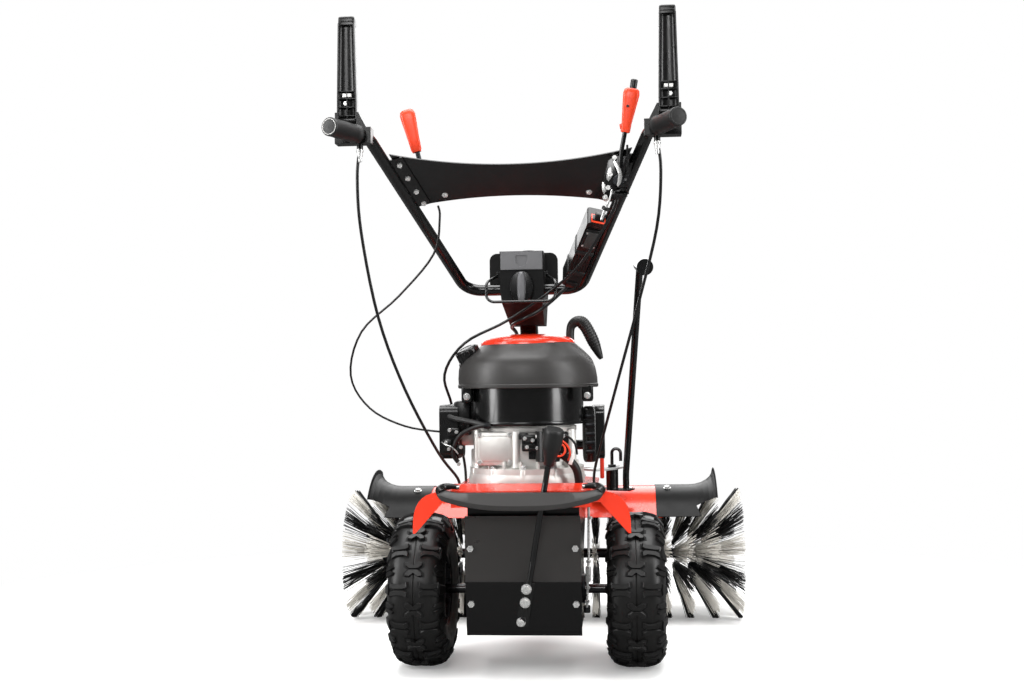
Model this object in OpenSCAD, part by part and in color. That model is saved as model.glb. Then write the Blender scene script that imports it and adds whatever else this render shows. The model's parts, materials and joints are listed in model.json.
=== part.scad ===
// Walk-behind power brush sweeper: live axle on two lugged tyres, vertical-shaft petrol engine,
// V handlebar with clutch levers, and a two-part bristle brush on a swivelling head.
// Millimetres. +X right, +Y forward (direction of travel), +Z up.
// The origin is on the floor, under the middle of the machine's length.

/* [Wheels] */
// Outside diameter of the tyres
wheel_d = 330; // [310:5:350]
// Width of a tyre
tyre_w = 124; // [110:2:136]
// Distance between the tyre centres
track_w = 458; // [450:2:490]
// Bead seat diameter of the rims
rim_d = 152; // [140:2:170]
// Thickness of the tyre wall
tyre_wall = 9; // [7:0.5:12]
// Diameter of the live axle
axle_d = 20; // [18:1:24]

/* [Brush] */
// Diameter over the bristle tips
brush_d = 330; // [310:5:350]
// Length over the outermost bristle tips
brush_len = 1000; // [960:10:1060]
// Distance from the axle forward to the brush axis
brush_reach = 563; // [550:1:590]
// Diameter of the bristle hubs
hub_d = 116; // [108:2:130]
// Length of hub beyond which the outer bristles fan out
fan_out = 80; // [40:5:110]
// Rings of bristles on each half
ring_count = 10; // [8:1:12]
// Bristles in each ring
strand_count = 20; // [19:1:20]
// Width of a bristle bundle at its tip
strand_tip = 5; // [3:0.5:7]
// Gap between the two halves of the brush
hub_gap = 90; // [86:2:110]
// Diameter of the brush shaft
shaft_d = 25; // [20:1:30]

/* [Brush covers] */
// Gap between the bristle tips and the covers
cover_gap = 6; // [4:1:12]
// Sheet thickness of the covers
cover_t = 2; // [1.5:0.5:3]
// Width of the red centre cover
centre_cover_w = 600; // [540:10:640]
// Distance from the middle to the tip of a side cover
side_cover_reach = 436; // [420:2:470]
// Height that a side cover's end flares up
flare_h = 43; // [30:1:50]
// Lowest angle of the covers at the rear, from horizontal
cover_rear_deg = 38; // [30:1:45]
// Angle at which the covers end at the front
cover_front_deg = 112; // [100:1:125]

/* [Chassis] */
// Width over the two side plates
frame_w = 230; // [220:2:240]
// Thickness of the side plates and webs
plate_t = 5; // [4:0.5:6]
// Thickness of the deck
deck_t = 5; // [4:0.5:8]
// Width of the deck under the engine
deck_w = 300; // [290:2:310]
// Width of the tongue that carries the brush head
tongue_w = 140; // [136:2:150]
// Thickness of the tongue's lower plate
tongue_t = 6; // [5:0.5:8]
// Height of the space for the belts
belt_space = 35; // [35:1:40]
// Width of the rear guard plate
guard_w = 236; // [232:2:250]
// Thickness of the rear guard plate
guard_t = 3; // [2:0.5:4]

/* [Engine] */
// Distance of the crankshaft behind the axle
engine_back = 25; // [20:1:30]
// Diameter of the crankcase
case_d = 208; // [200:2:212]
// Height of the crankcase
case_h = 130; // [126:1:134]
// Diameter of the sump flange
flange_d = 244; // [236:2:248]
// Diameter of the blower housing
blower_d = 246; // [240:2:250]
// Diameter of the upper shroud
shroud_d = 292; // [284:2:300]
// Height of the red dome on the shroud
dome_h = 14; // [10:1:18]
// Wall of the housings
shell_t = 3; // [2.5:0.5:4]
// Diameter of the crankshaft
crank_d = 25; // [22:1:28]
// Diameter of the fuel cap
cap_d = 52; // [46:1:56]

/* [Handlebar] */
// Diameter of the handlebar tube
bar_d = 24; // [22:0.5:26]
// Height of the handlebar's cross tube above the deck
bar_rise = 418; // [410:2:430]
// Half width of the cross tube at its corners
bar_low_half = 121; // [116:1:126]
// Half width at the top corners
bar_top_half = 264; // [256:1:276]
// Rise from the cross tube to the grips
grip_rise = 270; // [260:2:285]
// Set-back from the cross tube to the top corners
bar_setback = 340; // [330:2:350]
// Bend radius of the handlebar
bar_bend = 45; // [40:1:55]
// Diameter of the grips
grip_d = 35; // [32:0.5:38]
// Length of a grip
grip_len = 88; // [80:1:96]
// Thickness of the console sheet
console_t = 2.5; // [2:0.5:4]
// Width of the square handle post
post_w = 38; // [34:1:42]
// Rearward lean of the handle post
post_lean = 37.8; // [37:0.1:39]

/* [Levers] */
// Length of a clutch lever above its pivot
clutch_len = 196; // [180:2:210]
// Width of a clutch lever
clutch_w = 36; // [32:1:40]
// Depth of a clutch lever's channel
clutch_depth = 24; // [20:1:26]
// Diameter of the brush angle lever
angle_d = 16; // [14:0.5:18]
// Diameter of the angle lever's grip
angle_grip_d = 36; // [32:1:40]
// Diameter of the shift lever rod
shift_d = 12; // [10:0.5:14]
// Length of the shift lever from its pivot to the knob
shift_len = 342; // [330:2:350]

/* [Hidden] */
$fn = 48;

// Fits
run_fit = 0.05;
seat_gap = 0.3;
through = 300;
swing_gap = 2;

// Heights that follow from the brush
axle_z = wheel_d / 2;
brush_z = brush_d / 2;
cover_r = brush_z + cover_gap;
cover_top = brush_z + cover_r + cover_t;
arm_t = 4;
tongue_z = cover_top + arm_t + swing_gap;
tongue_top = tongue_z + tongue_t;
deck_under = tongue_top + belt_space;
deck_top = deck_under + deck_t;

// Brush head
worm_offset = 45;
swivel_y = brush_reach - worm_offset;
neck_d = 60;
ring_t = 4;
input_d = 20;
worm_case_d = 66;
worm_d = 28;
gear_case_d = 108;
gear_case_w = 70;
hub_end = brush_len / 2 - fan_out;
strand_base = 8;

// Deck and frame
frame_rear_y = -150;
frame_front_y = 330;
web_rear_y = 260;
deck_front_y = 170;
axle_drop = 70;
bearing_d = 42;

// Engine
engine_y = -engine_back;
flange_h = 42;
flange_lip = 18;
flange_r = max(flange_d / 2, case_d / 2 + flange_lip);
case_top = deck_top + case_h;
blower_h = 76;
shroud_lift = 197;
shroud_low = deck_top + shroud_lift;
shoulder_lift = 260;
shroud_shoulder = deck_top + shoulder_lift;
slope_lift = 224;
slope_low = deck_top + slope_lift;
shroud_h = 303;
shroud_top = deck_top + shroud_h;
slope_w = 46;
dome_d = shroud_d - 2 * slope_w;
cylinder_y = engine_y + case_d / 2;
cylinder_lift = 80;
cylinder_z = deck_top + cylinder_lift;
cylinder_len = 118;
carb_w = 38;
filter_x = -case_d / 2 - carb_w;
muffler_x = 140;
crank_hole_d = 60;

// Belts and pulleys
groove_depth = 10;
belt_w = 9;
belt_h = 8;
belt_play = 0.5;
pulley_h = 14;
belt_drop = 12;
belt_step = 18;
upper_belt_z = deck_under - belt_drop;
lower_belt_z = upper_belt_z - belt_step;
engine_groove_r = 26;
brush_groove_r = 46;
drive_groove_r = 44;
drive_ahead = 130;
drive_y = engine_y + drive_ahead;
drive_shaft_d = 16;

// Handle post: its rear face just clears the shroud's shoulder
post_gap = 14;
function post_y(z) = engine_y + shroud_d / 2 + post_gap + post_w / 2 / cos(post_lean)
  - (z - shroud_shoulder) * tan(post_lean);

// Handlebar
bar_y = -60;
bar_z = deck_top + bar_rise;
bar_slope = atan(grip_rise / bar_setback);
bar_run = norm([grip_rise, bar_setback]);
grip_y = bar_y - bar_setback;
grip_z = bar_z + grip_rise;
grip_splay = 22;
tail_len = 130;
grip_end = 6;
tail_dir = [sin(grip_splay), -cos(grip_splay), 0];
bar_corner = [bar_top_half, grip_y, grip_z];
leg_spread = atan((bar_top_half - bar_low_half) / bar_run);

// Clutch levers
clutch_x = 300;
clutch_y = grip_y - 14;
clutch_z = grip_z + 30;
pin_d = 6;

// Machine length, so that the origin lies under its middle
front_y = brush_reach + brush_d / 2;
rear_y = grip_y - tail_len * cos(grip_splay) - grip_d / 2 * sin(grip_splay);
origin_y = -(front_y + rear_y) / 2;

// Colours
red = "#e0391f";
gloss_black = "#141414";
satin_black = "#3a3a3b";
plastic_black = "#202021";
cast_alloy = "#c9c7c2";
zinc = "#b9bcc0";
steel_grey = "#7d8084";
rubber_black = "#1b1b1c";

// Helpers

function unit(v) = v / norm(v);

// Straight round bar between two points
module rod(a, b, d) {
  v = b - a;
  translate(a)
    rotate([0, acos(v.z / norm(v)), atan2(v.y, v.x)])
      cylinder(d = d, h = norm(v));
}

function bend_angle(a, b, c) = acos(min(1, unit(b - a) * unit(c - b)));
function bend_cut(a, b, c, r) = r * tan(bend_angle(a, b, c) / 2);

// Quarter-ring of a bend at corner b
module bend(a, b, c, r, d) {
  u = unit(b - a);
  n = unit(cross(u, unit(c - b)));
  x = cross(u, n);
  o = b - u * bend_cut(a, b, c, r) - x * r;
  multmatrix([[x.x, u.x, n.x, o.x], [x.y, u.y, n.y, o.y], [x.z, u.z, n.z, o.z], [0, 0, 0, 1]])
    rotate_extrude(angle = bend_angle(a, b, c))
      translate([r, 0])
        circle(d = d);
}

// Round bar through points, with rounded corners; each bend starts just inside the straight pieces
bend_overlap = 0.4;
bend_step = 0.12;
module bent_bar(pts, r, d) {
  last = len(pts) - 1;
  for (i = [0 : last - 1]) {
    dir = unit(pts[i + 1] - pts[i]);
    start_cut = i == 0 ? 0 : bend_cut(pts[i - 1], pts[i], pts[i + 1], r) - bend_overlap;
    end_cut = i == last - 1 ? 0 : bend_cut(pts[i], pts[i + 1], pts[i + 2], r) - bend_overlap;
    rod(pts[i] + dir * start_cut, pts[i + 1] - dir * end_cut, d);
  }
  for (i = [1 : last - 1])
    bend(pts[i - 1], pts[i], pts[i + 1], r, d - bend_step);
}

// Round bar along X
module x_bar(x0, x1, d) {
  translate([x0, 0, 0])
    rotate([0, 90, 0])
      cylinder(d = d, h = x1 - x0);
}

// Block with round vertical edges
module round_block(size, r) {
  linear_extrude(size.z)
    round_rect([size.x, size.y], r);
}

module round_rect(size, r) {
  square([size.x - 2 * r, size.y], center = true);
  square([size.x, size.y - 2 * r], center = true);
  for (x = [-1, 1], y = [-1, 1])
    translate([x * (size.x / 2 - r), y * (size.y / 2 - r)])
      circle(r = r);
}

// Pulley with one square-bottomed groove, centred on z = 0
module pulley_groove(groove_r, bore_d) {
  rotate_extrude()
    polygon([[bore_d / 2, -pulley_h / 2], [groove_r + groove_depth, -pulley_h / 2],
      [groove_r + groove_depth, -belt_w / 2 - belt_play], [groove_r, -belt_w / 2 - belt_play],
      [groove_r, belt_w / 2 + belt_play], [groove_r + groove_depth, belt_w / 2 + belt_play],
      [groove_r + groove_depth, pulley_h / 2], [bore_d / 2, pulley_h / 2]]);
}

// Outline round two circles a distance apart along Y: an arc on each, joined by straight runs
belt_steps = 20;
function belt_arc(r, y, from_deg, to_deg) = [for (i = [0 : belt_steps])
  let (a = from_deg + (to_deg - from_deg) * i / belt_steps) [r * cos(a), y + r * sin(a)]];
module belt_outline(r0, r1, dist) {
  lean = asin((r0 - r1) / dist);
  polygon(concat(belt_arc(r1, dist, lean, 180 - lean), belt_arc(r0, 0, 180 - lean, 360 + lean)));
}

module belt(r0, r1, dist) {
  translate([0, 0, -belt_w / 2])
    linear_extrude(belt_w)
      difference() {
        belt_outline(r0 + belt_play + belt_h, r1 + belt_play + belt_h, dist);
        belt_outline(r0 + belt_play, r1 + belt_play, dist);
      }
}

// Sheet wrapped over the brush: profile is [radius, x], between two angles from the rear horizontal
module over_brush(from_deg, to_deg, profile) {
  translate([0, brush_reach, brush_z])
    rotate([0, 90, 0])
      rotate([0, 0, 270 - to_deg])
        rotate_extrude(angle = to_deg - from_deg)
          polygon(profile);
}

// Frame of the handlebar's plane: x across, -y up the legs, z square to the plane
module on_bar() {
  translate([0, bar_y, bar_z])
    rotate([-bar_slope, 0, 0])
      children();
}

// Frame along one leg: y runs from the cross tube up the leg as -y
module on_leg(side) {
  on_bar()
    translate([side * bar_low_half, 0, 0])
      rotate([0, 0, side * leg_spread])
        children();
}

// Catmull-Rom curve through hand-chosen points
function glide_at(p, i, t) = let (
    a = p[max(i - 1, 0)], b = p[i], c = p[i + 1], d = p[min(i + 2, len(p) - 1)])
  0.5 * ((2 * b) + (c - a) * t + (2 * a - 5 * b + 4 * c - d) * t * t
    + (3 * b - a - 3 * c + d) * t * t * t);
function glide(p, steps) = concat(
  [for (i = [0 : len(p) - 2], k = [0 : steps - 1]) glide_at(p, i, k / steps)], [p[len(p) - 1]]);

// Tube swept along a list of points
cord_sides = 8;
module swept_cord(path, d) {
  last = len(path) - 1;
  dirs = [for (i = [0 : last]) unit(path[min(i + 1, last)] - path[max(i - 1, 0)])];
  side = [for (t = dirs) unit(cross(t, abs(t.x) < 0.9 ? [1, 0, 0] : [0, 1, 0]))];
  points = [for (i = [0 : last], k = [0 : cord_sides - 1])
    let (a = k * 360 / cord_sides)
    path[i] + d / 2 * (side[i] * cos(a) + cross(dirs[i], side[i]) * sin(a))];
  function at(i, k) = i * cord_sides + k % cord_sides;
  walls = [for (i = [0 : last - 1], k = [0 : cord_sides - 1], h = [0, 1])
    h == 0 ? [at(i, k), at(i + 1, k), at(i + 1, k + 1)] : [at(i, k), at(i + 1, k + 1), at(i, k + 1)]];
  start = [for (k = [1 : cord_sides - 2]) [at(0, 0), at(0, k), at(0, k + 1)]];
  finish = [for (k = [1 : cord_sides - 2]) [at(last, 0), at(last, k + 1), at(last, k)]];
  polyhedron(points, concat(walls, start, finish));
}

// Chassis

module side_plate() {
  rotate([90, 0, 90])
    linear_extrude(plate_t)
      difference() {
        polygon([[frame_rear_y, axle_z - axle_drop], [frame_rear_y, deck_under],
          [frame_front_y, deck_under], [frame_front_y, deck_under - 60],
          [110, axle_z + 70], [80, axle_z - axle_drop]]);
        translate([0, axle_z])
          circle(d = bearing_d + 2 * run_fit);
      }
}

front_tube_d = 30;
module chassis_frame() color(gloss_black) {
  for (x = [-frame_w / 2, frame_w / 2 - plate_t])
    translate([x, 0, 0])
      side_plate();
  translate([-frame_w / 2 + plate_t, frame_rear_y, axle_z + 60])
    cube([frame_w - 2 * plate_t, plate_t, deck_under - axle_z - 60]);
  translate([0, frame_front_y - 70, deck_under - 75])
    x_bar(-frame_w / 2 + plate_t, frame_w / 2 - plate_t, front_tube_d);
}

module tongue_outline() {
  translate([-tongue_w / 2, web_rear_y])
    square([tongue_w, swivel_y - web_rear_y]);
  translate([0, swivel_y])
    circle(d = tongue_w);
}

module deck_outline() {
  translate([-deck_w / 2, frame_rear_y])
    square([deck_w, deck_front_y - frame_rear_y]);
  polygon([[-deck_w / 2, deck_front_y], [deck_w / 2, deck_front_y],
    [tongue_w / 2, web_rear_y], [-tongue_w / 2, web_rear_y]]);
  tongue_outline();
}

module deck_plate() color(red) difference() {
  union() {
    translate([0, 0, deck_under])
      linear_extrude(deck_t)
        deck_outline();
    translate([0, 0, tongue_z])
      linear_extrude(tongue_t)
        tongue_outline();
    for (x = [-tongue_w / 2, tongue_w / 2 - plate_t])
      translate([x, web_rear_y, tongue_z])
        cube([plate_t, swivel_y - web_rear_y, deck_top - tongue_z]);
  }
  translate([0, engine_y, deck_under - 1])
    cylinder(d = crank_hole_d, h = deck_t + 2);
  translate([0, swivel_y, tongue_z - 1])
    cylinder(d = neck_d + 2 * run_fit, h = tongue_t + 2);
  translate([0, swivel_y, deck_under - 1])
    cylinder(d = input_d + 2 * run_fit, h = deck_t + 2);
}

// Slotted sector that the angle lever is clamped to
clamp_r = 198;
clamp_deg = -26;
swing_deg = 15;
sector_r = 214;
sector_t = 5;
clamp_d = 10;
slot_play = 0.4;
module sector_ring(r_in, r_out, from_deg, to_deg) {
  rotate([0, 0, from_deg])
    rotate_extrude(angle = to_deg - from_deg)
      translate([r_in, 0])
        square([r_out - r_in, sector_t]);
}
module lock_sector() color(zinc)
  translate([0, swivel_y, deck_top]) difference() {
    union() {
      sector_ring(clamp_r - 34, sector_r, clamp_deg - swing_deg - 9, clamp_deg + swing_deg + 9);
      rotate([0, 0, clamp_deg])
        translate([40, -26, 0])
          cube([clamp_r - 60, 52, sector_t]);
    }
    translate([0, 0, -1])
      rotate([0, 0, clamp_deg - swing_deg - 1])
        rotate_extrude(angle = 2 * swing_deg + 2)
          translate([clamp_r - clamp_d / 2 - slot_play, 0])
            square([clamp_d + 2 * slot_play, sector_t + 2]);
    for (a = [-swing_deg - 1, swing_deg + 1])
      rotate([0, 0, clamp_deg + a])
        translate([clamp_r, 0, -1])
          cylinder(d = clamp_d + 2 * slot_play, h = sector_t + 2);
  }

// Red cowl over the rear of the deck, with a drooping wing over each tyre
cowl_t = 3;
cowl_gap = 4;
cowl_front_y = engine_y - flange_r - cowl_gap;
cowl_rear_y = cowl_front_y - 54;
cowl_rise = 14;
skirt_h = 30;
wing_half = 220;
wing_drop = 85;
wing_root = deck_w / 2 - 8;
wing_low = deck_top + cowl_t - wing_drop;
wing_bulge = 0.65;
function wing_line(off) = [for (t = [0 : 10 : 90])
  [wing_root + (wing_half - wing_root - off) * pow(sin(t), wing_bulge),
    wing_low + (wing_drop - off) * pow(cos(t), wing_bulge)]];
wing_web = 20;
wing_inner = 17;
wing_tip = 5;
wing_lap = 2;
module wing() {
  translate([0, cowl_rear_y + cowl_t, 0])
    rotate([90, 0, 0])
      linear_extrude(cowl_t)
        polygon(concat(wing_line(0), [[wing_half - wing_tip, wing_low],
          [wing_root + wing_inner, deck_top - wing_web], [wing_root - wing_lap, deck_top - wing_web],
          [wing_root - wing_lap, deck_top + cowl_t]]));
  difference() {
    translate([0, cowl_rear_y, 0])
      rotate([90, 0, 0])
        mirror([0, 0, 1])
          linear_extrude(cowl_front_y - cowl_rear_y)
            polygon(concat(wing_line(0), [for (i = [9 : -1 : 0]) wing_line(cowl_t)[i]]));
    translate([wing_root + 30, cowl_front_y, deck_top - wing_drop - 40])
      rotate([24, 0, 0])
        cube([120, 120, 180]);
  }
}
module rear_cowl() color(red) {
  rotate([90, 0, 90])
    translate([0, 0, -wing_root])
      linear_extrude(2 * wing_root)
        polygon([[cowl_front_y, deck_top], [cowl_front_y, deck_top + cowl_rise],
          [cowl_rear_y, deck_top + cowl_t], [cowl_rear_y, deck_top - skirt_h],
          [cowl_rear_y + cowl_t, deck_top - skirt_h], [cowl_rear_y + cowl_t, deck_top],
          [cowl_front_y - cowl_t, deck_top + cowl_rise - cowl_t], [cowl_front_y - cowl_t, deck_top]]);
  wing();
  mirror([1, 0, 0])
    wing();
}

// Black shift gate behind the cowl
gate_half = 165;
gate_slot = 16;
gate_d = 22;
gate_mid_h = 36;
gate_end_h = 12;
gate_rear_y = cowl_rear_y - gate_slot - gate_d;
module gate_panel() color(plastic_black) {
  n = 16;
  top = deck_top + 2;
  rotate([90, 0, 0])
    translate([0, 0, -gate_rear_y - gate_d])
      linear_extrude(gate_d)
        polygon(concat([for (i = [-n : n]) let (u = i / n)
            [u * gate_half, top - gate_mid_h + (gate_mid_h - gate_end_h) * u * u]],
          [[gate_half, top + 6], [gate_half - 20, top + 10], [gate_half - 40, top],
          [-gate_half + 40, top], [-gate_half + 20, top + 10], [-gate_half, top + 6]]));
  for (s = [-1, 1])
    translate([s * (wing_root - 20) - 12, gate_rear_y + gate_d, top - 18])
      cube([24, gate_slot, 14]);
}

// Bent guard plate between the wheels
guard_y = frame_rear_y - 26;
guard_top = axle_z + 175;
guard_fold = axle_z + 43;
guard_low = axle_z - 70;
guard_kick = 18;
selector_d = 12;
selector_z = axle_z - 32;
module guard_plate() color(gloss_black) difference() {
  union() {
    rotate([90, 0, 90])
      translate([0, 0, -guard_w / 2])
        linear_extrude(guard_w)
          polygon([[guard_y, guard_fold], [guard_y, guard_top], [guard_y + guard_t, guard_top],
            [guard_y + guard_t, guard_fold], [guard_y + guard_t + guard_kick, guard_low],
            [guard_y + guard_kick, guard_low]]);
    for (s = [-1, 1])
      translate([s * (frame_w / 2 - 12) - 10, guard_y + guard_t, guard_top - 70])
        cube([20, frame_rear_y - guard_y - guard_t, 20]);
  }
  translate([0, guard_y - 5, selector_z])
    rotate([-90, 0, 0])
      cylinder(d = selector_d + 2, h = 40);
}

// Bolts of the guard plate, the deck and the engine
guard_bolt_x = 107;
guard_bolt_z = [guard_fold - 47, guard_top - 66];
guard_slope = (guard_fold - guard_bolt_z[0]) / (guard_fold - guard_low);
guard_bolt_d = 14;
guard_bolt_h = 5;
flange_bolt_d = 13;
flange_bolt_h = 8;
module frame_bolts() color(zinc) {
  for (s = [-1, 1])
    translate([s * guard_bolt_x, guard_y, guard_bolt_z[1]])
      rotate([90, 0, 0])
        cylinder(d = guard_bolt_d, h = guard_bolt_h, $fn = 6);
  for (s = [-1, 1])
    translate([s * guard_bolt_x, guard_y + guard_kick * guard_slope, guard_bolt_z[0]])
      rotate([90 + atan(guard_kick / (guard_fold - guard_low)), 0, 0])
        cylinder(d = guard_bolt_d, h = guard_bolt_h, $fn = 6);
  for (a = [150 : 60 : 390])
    translate([0, engine_y, deck_top + flange_h])
      rotate([0, 0, a])
        translate([flange_r - flange_lip / 2, 0, 0])
          cylinder(d = flange_bolt_d, h = flange_bolt_h, $fn = 6);
}

module axle_bearings() color(steel_grey)
  for (s = [-1, 1])
    translate([0, 0, axle_z])
      mirror([s < 0 ? 1 : 0, 0, 0])
        difference() {
          union() {
            x_bar(frame_w / 2 - plate_t, frame_w / 2, bearing_d);
            x_bar(frame_w / 2, frame_w / 2 + 8, bearing_d + 20);
          }
          x_bar(frame_w / 2 - plate_t - 1, frame_w / 2 + 9, axle_d + 2 * run_fit);
        }

transaxle_w = 100;
transaxle_d = 124;
module transaxle_case() color(steel_grey) difference() {
  union() {
    translate([0, 0, axle_z])
      x_bar(-transaxle_w / 2, transaxle_w / 2, transaxle_d);
    translate([-transaxle_w / 2, 0, axle_z - transaxle_d / 2])
      cube([transaxle_w, drive_y, transaxle_d - 20]);
    translate([0, drive_y, axle_z - transaxle_d / 2])
      cylinder(d = transaxle_w, h = transaxle_d - 20);
    translate([0, drive_y, axle_z])
      cylinder(d = 44, h = 75);
    for (s = [-1, 1])
      translate([s * (transaxle_w / 2 + (frame_w / 2 - plate_t - transaxle_w / 2) / 2)
          - (frame_w / 2 - plate_t - transaxle_w / 2) / 2, drive_y - 40, axle_z - 40])
        cube([frame_w / 2 - plate_t - transaxle_w / 2, 16, 40]);
  }
  translate([0, 0, axle_z])
    x_bar(-transaxle_w, transaxle_w, axle_d + 2 * run_fit);
  translate([0, drive_y, axle_z - 20])
    cylinder(d = drive_shaft_d + 2 * run_fit, h = 200);
  translate([0, -transaxle_d / 2 - 20, selector_z])
    rotate([-90, 0, 0])
      cylinder(d = selector_d + 2 * run_fit, h = 60);
}

// Wheels

axle_half = track_w / 2 + tyre_w / 2 - 4;
module axle_shaft() color(steel_grey)
  translate([0, 0, axle_z])
    x_bar(-axle_half, axle_half, axle_d);

rim_r = rim_d / 2;
rim_half = tyre_w / 2 - 18;
rim_t = 3.5;
hub_r = axle_d / 2 + 7;
module rim() {
  rotate([0, 90, 0])
    rotate_extrude() {
      polygon([[rim_r - rim_t, -rim_half - 3], [rim_r + 8, -rim_half - 3], [rim_r + 8, -rim_half - run_fit],
        [rim_r - run_fit, -rim_half - run_fit], [rim_r - run_fit, rim_half + run_fit],
        [rim_r + 8, rim_half + run_fit], [rim_r + 8, rim_half + 3], [rim_r - rim_t, rim_half + 3]]);
      translate([hub_r - 1, 4])
        square([rim_r - rim_t - hub_r + 2, rim_t]);
      translate([axle_d / 2 + run_fit, -rim_half])
        square([hub_r - axle_d / 2 - run_fit, 2 * rim_half + 8]);
    }
}
module wheel_rims() color(plastic_black) {
  translate([track_w / 2, 0, axle_z])
    rim();
  translate([-track_w / 2, 0, axle_z])
    mirror([1, 0, 0])
      rim();
}

// Half section of a tyre as [radius, width], from bead to crown
tyre_r = wheel_d / 2;
tyre_half = tyre_w / 2;
tyre_side = [[rim_r, rim_half], [rim_r + 12, rim_half], [rim_r + 20, tyre_half - 9],
  [rim_r + 34, tyre_half - 2], [tyre_r - 34, tyre_half], [tyre_r - 16, tyre_half - 3],
  [tyre_r - 6, tyre_half - 12], [tyre_r - 1.5, tyre_half - 24], [tyre_r, tyre_half * 0.3]];
tyre_hollow = [[tyre_r - tyre_wall - 3, tyre_half * 0.3], [tyre_r - tyre_wall - 5, tyre_half - 26],
  [tyre_r - 24, tyre_half - tyre_wall - 3], [rim_r + 34, tyre_half - tyre_wall - 2],
  [rim_r + 20, rim_half - 2], [rim_r, rim_half - 12]];
module tyre() {
  half = concat(tyre_side, tyre_hollow);
  rotate([0, 90, 0])
    rotate_extrude() {
      polygon(half);
      mirror([0, 1])
        polygon(half);
      translate([tyre_r - tyre_wall - 3, -tyre_half * 0.3])
        square([tyre_wall + 3, tyre_half * 0.6]);
    }
}
module tyres() color(rubber_black)
  for (s = [-1, 1])
    translate([s * track_w / 2, 0, axle_z])
      tyre();

// Engine

case_wall = 10;
bore_d = 68;
pad_w = 104;
pad_h = 96;
module crankcase() color(cast_alloy) difference() {
  union() {
    translate([0, engine_y, deck_top])
      cylinder(r = flange_r, h = flange_h);
    translate([0, engine_y, deck_top])
      cylinder(d = case_d, h = case_h);
    translate([-pad_w / 2, engine_y, cylinder_z - pad_h / 2])
      cube([pad_w, case_d / 2, pad_h]);
  }
  translate([0, engine_y, deck_top + case_wall])
    cylinder(d = case_d - 2 * case_wall, h = case_h - 2 * case_wall);
  translate([0, engine_y, deck_top - 1])
    cylinder(d = crank_d + 2 * run_fit, h = case_h + 2);
  translate([0, engine_y, cylinder_z])
    rotate([-90, 0, 0])
      cylinder(d = bore_d, h = case_d);
  translate([-fin_w / 2 - fin_room, cylinder_y, cylinder_z - fin_h / 2 - fin_room])
    cube([fin_w + 2 * fin_room, flange_r, fin_h]);
}

fin_room = 1;
fin_count = 7;
fin_t = 4;
fin_pitch = 12;
fin_w = 118;
fin_h = 106;
head_t = 20;
plug_d = 14;
module cylinder_block() color(cast_alloy) difference() {
  translate([0, cylinder_y, cylinder_z])
    rotate([-90, 0, 0]) {
      cylinder(d = bore_d + 22, h = cylinder_len);
      for (i = [0 : fin_count - 1])
        translate([0, 0, 4 + i * fin_pitch])
          round_block([fin_w, fin_h, fin_t], 10);
      translate([0, 0, cylinder_len - head_t - 14])
        round_block([fin_w - 8, fin_h - 6, head_t], 8);
      translate([0, 0, cylinder_len - 14])
        round_block([fin_w - 34, fin_h - 34, 24], 8);
      translate([26, 0, cylinder_len])
        cylinder(d = plug_d, h = 34);
    }
  translate([0, cylinder_y - 1, cylinder_z])
    rotate([-90, 0, 0])
      cylinder(d = bore_d, h = cylinder_len - head_t - 20);
}

blower_low = case_top + 3;
hood_half = 64;
hood_front = engine_y + 180;
hood_h = shroud_low - seat_gap - blower_low;
module blower_shape(inset, h) {
  cylinder(d = blower_d - 2 * inset, h = h);
  translate([-hood_half + inset, 0, 0])
    cube([2 * (hood_half - inset), hood_front - engine_y - inset, h - blower_h + hood_h]);
}
module blower_housing() color(gloss_black) translate([0, engine_y, 0]) difference() {
  union() {
    translate([0, 0, blower_low])
      blower_shape(0, blower_h);
    translate([0, 0, case_top])
      cylinder(d = 120, h = 4);
  }
  translate([0, 0, blower_low + shell_t])
    blower_shape(shell_t, blower_h);
  translate([0, 0, case_top - 1])
    cylinder(d = crank_d + 12, h = 20);
}

// Shroud section as [radius, height], outside then inside
shroud_r = shroud_d / 2;
dome_r = dome_d / 2;
slope_bulge = 1.5;
function shoulder(t, inset) = [dome_r + (shroud_r - dome_r - inset) * pow(cos(t), slope_bulge),
  slope_low + (shroud_top - slope_low - inset) * pow(sin(t), slope_bulge)];
neck_lift = 243;
neck_at = [-101, -58, deck_top + neck_lift];
neck_tilt = [14, -24, 0];
neck_len = 22;
rope_at = [95, engine_y + 45];
ear_lift = 180;
ear_z = deck_top + ear_lift;
neck_wall = 4;
cap_room = 2;
rope_boss_h = 44;
ear_post_d = 22;
ear_post_x = 127;
ear_post_back = 68;
window_left = 108;
window_right = 130;
window_h = 20;
module cap_clearance()
  translate(neck_at)
    rotate(neck_tilt)
      translate([0, 0, neck_len])
        cylinder(d = cap_d + 2 * cap_room, h = through);
module engine_shroud() color(satin_black) {
  difference() {
    union() {
      translate([0, engine_y, 0])
        difference() {
          rotate_extrude()
            polygon(concat([[shroud_r - shell_t, shroud_low], [shroud_r, shroud_low]],
              [for (t = [0 : 15 : 90]) shoulder(t, 0)], [[0, shroud_top], [0, shroud_top - shell_t]],
              [for (t = [90 : -15 : 0]) shoulder(t, shell_t)]));
          translate([-window_left, -shroud_r - 10, shroud_low - 1])
            cube([window_left + window_right, shroud_r - 60, window_h]);
        }
      translate(neck_at)
        rotate(neck_tilt)
          cylinder(d = cap_d + 2 * neck_wall, h = neck_len);
      translate([rope_at.x, rope_at.y, shroud_top - rope_boss_h])
        cylinder(d = rope_boss_d, h = rope_boss_h + 2);
      for (x = [-ear_post_x, ear_post_x])
        translate([x, engine_y - ear_post_back, ear_z])
          cylinder(d = ear_post_d, h = shroud_low - ear_z + window_h);
    }
    cap_clearance();
    translate([0, engine_y, ear_z - 10])
      cylinder(d = blower_d + 2 * seat_gap, h = blower_low + blower_h - ear_z + 10 + seat_gap);
  }
}

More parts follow.
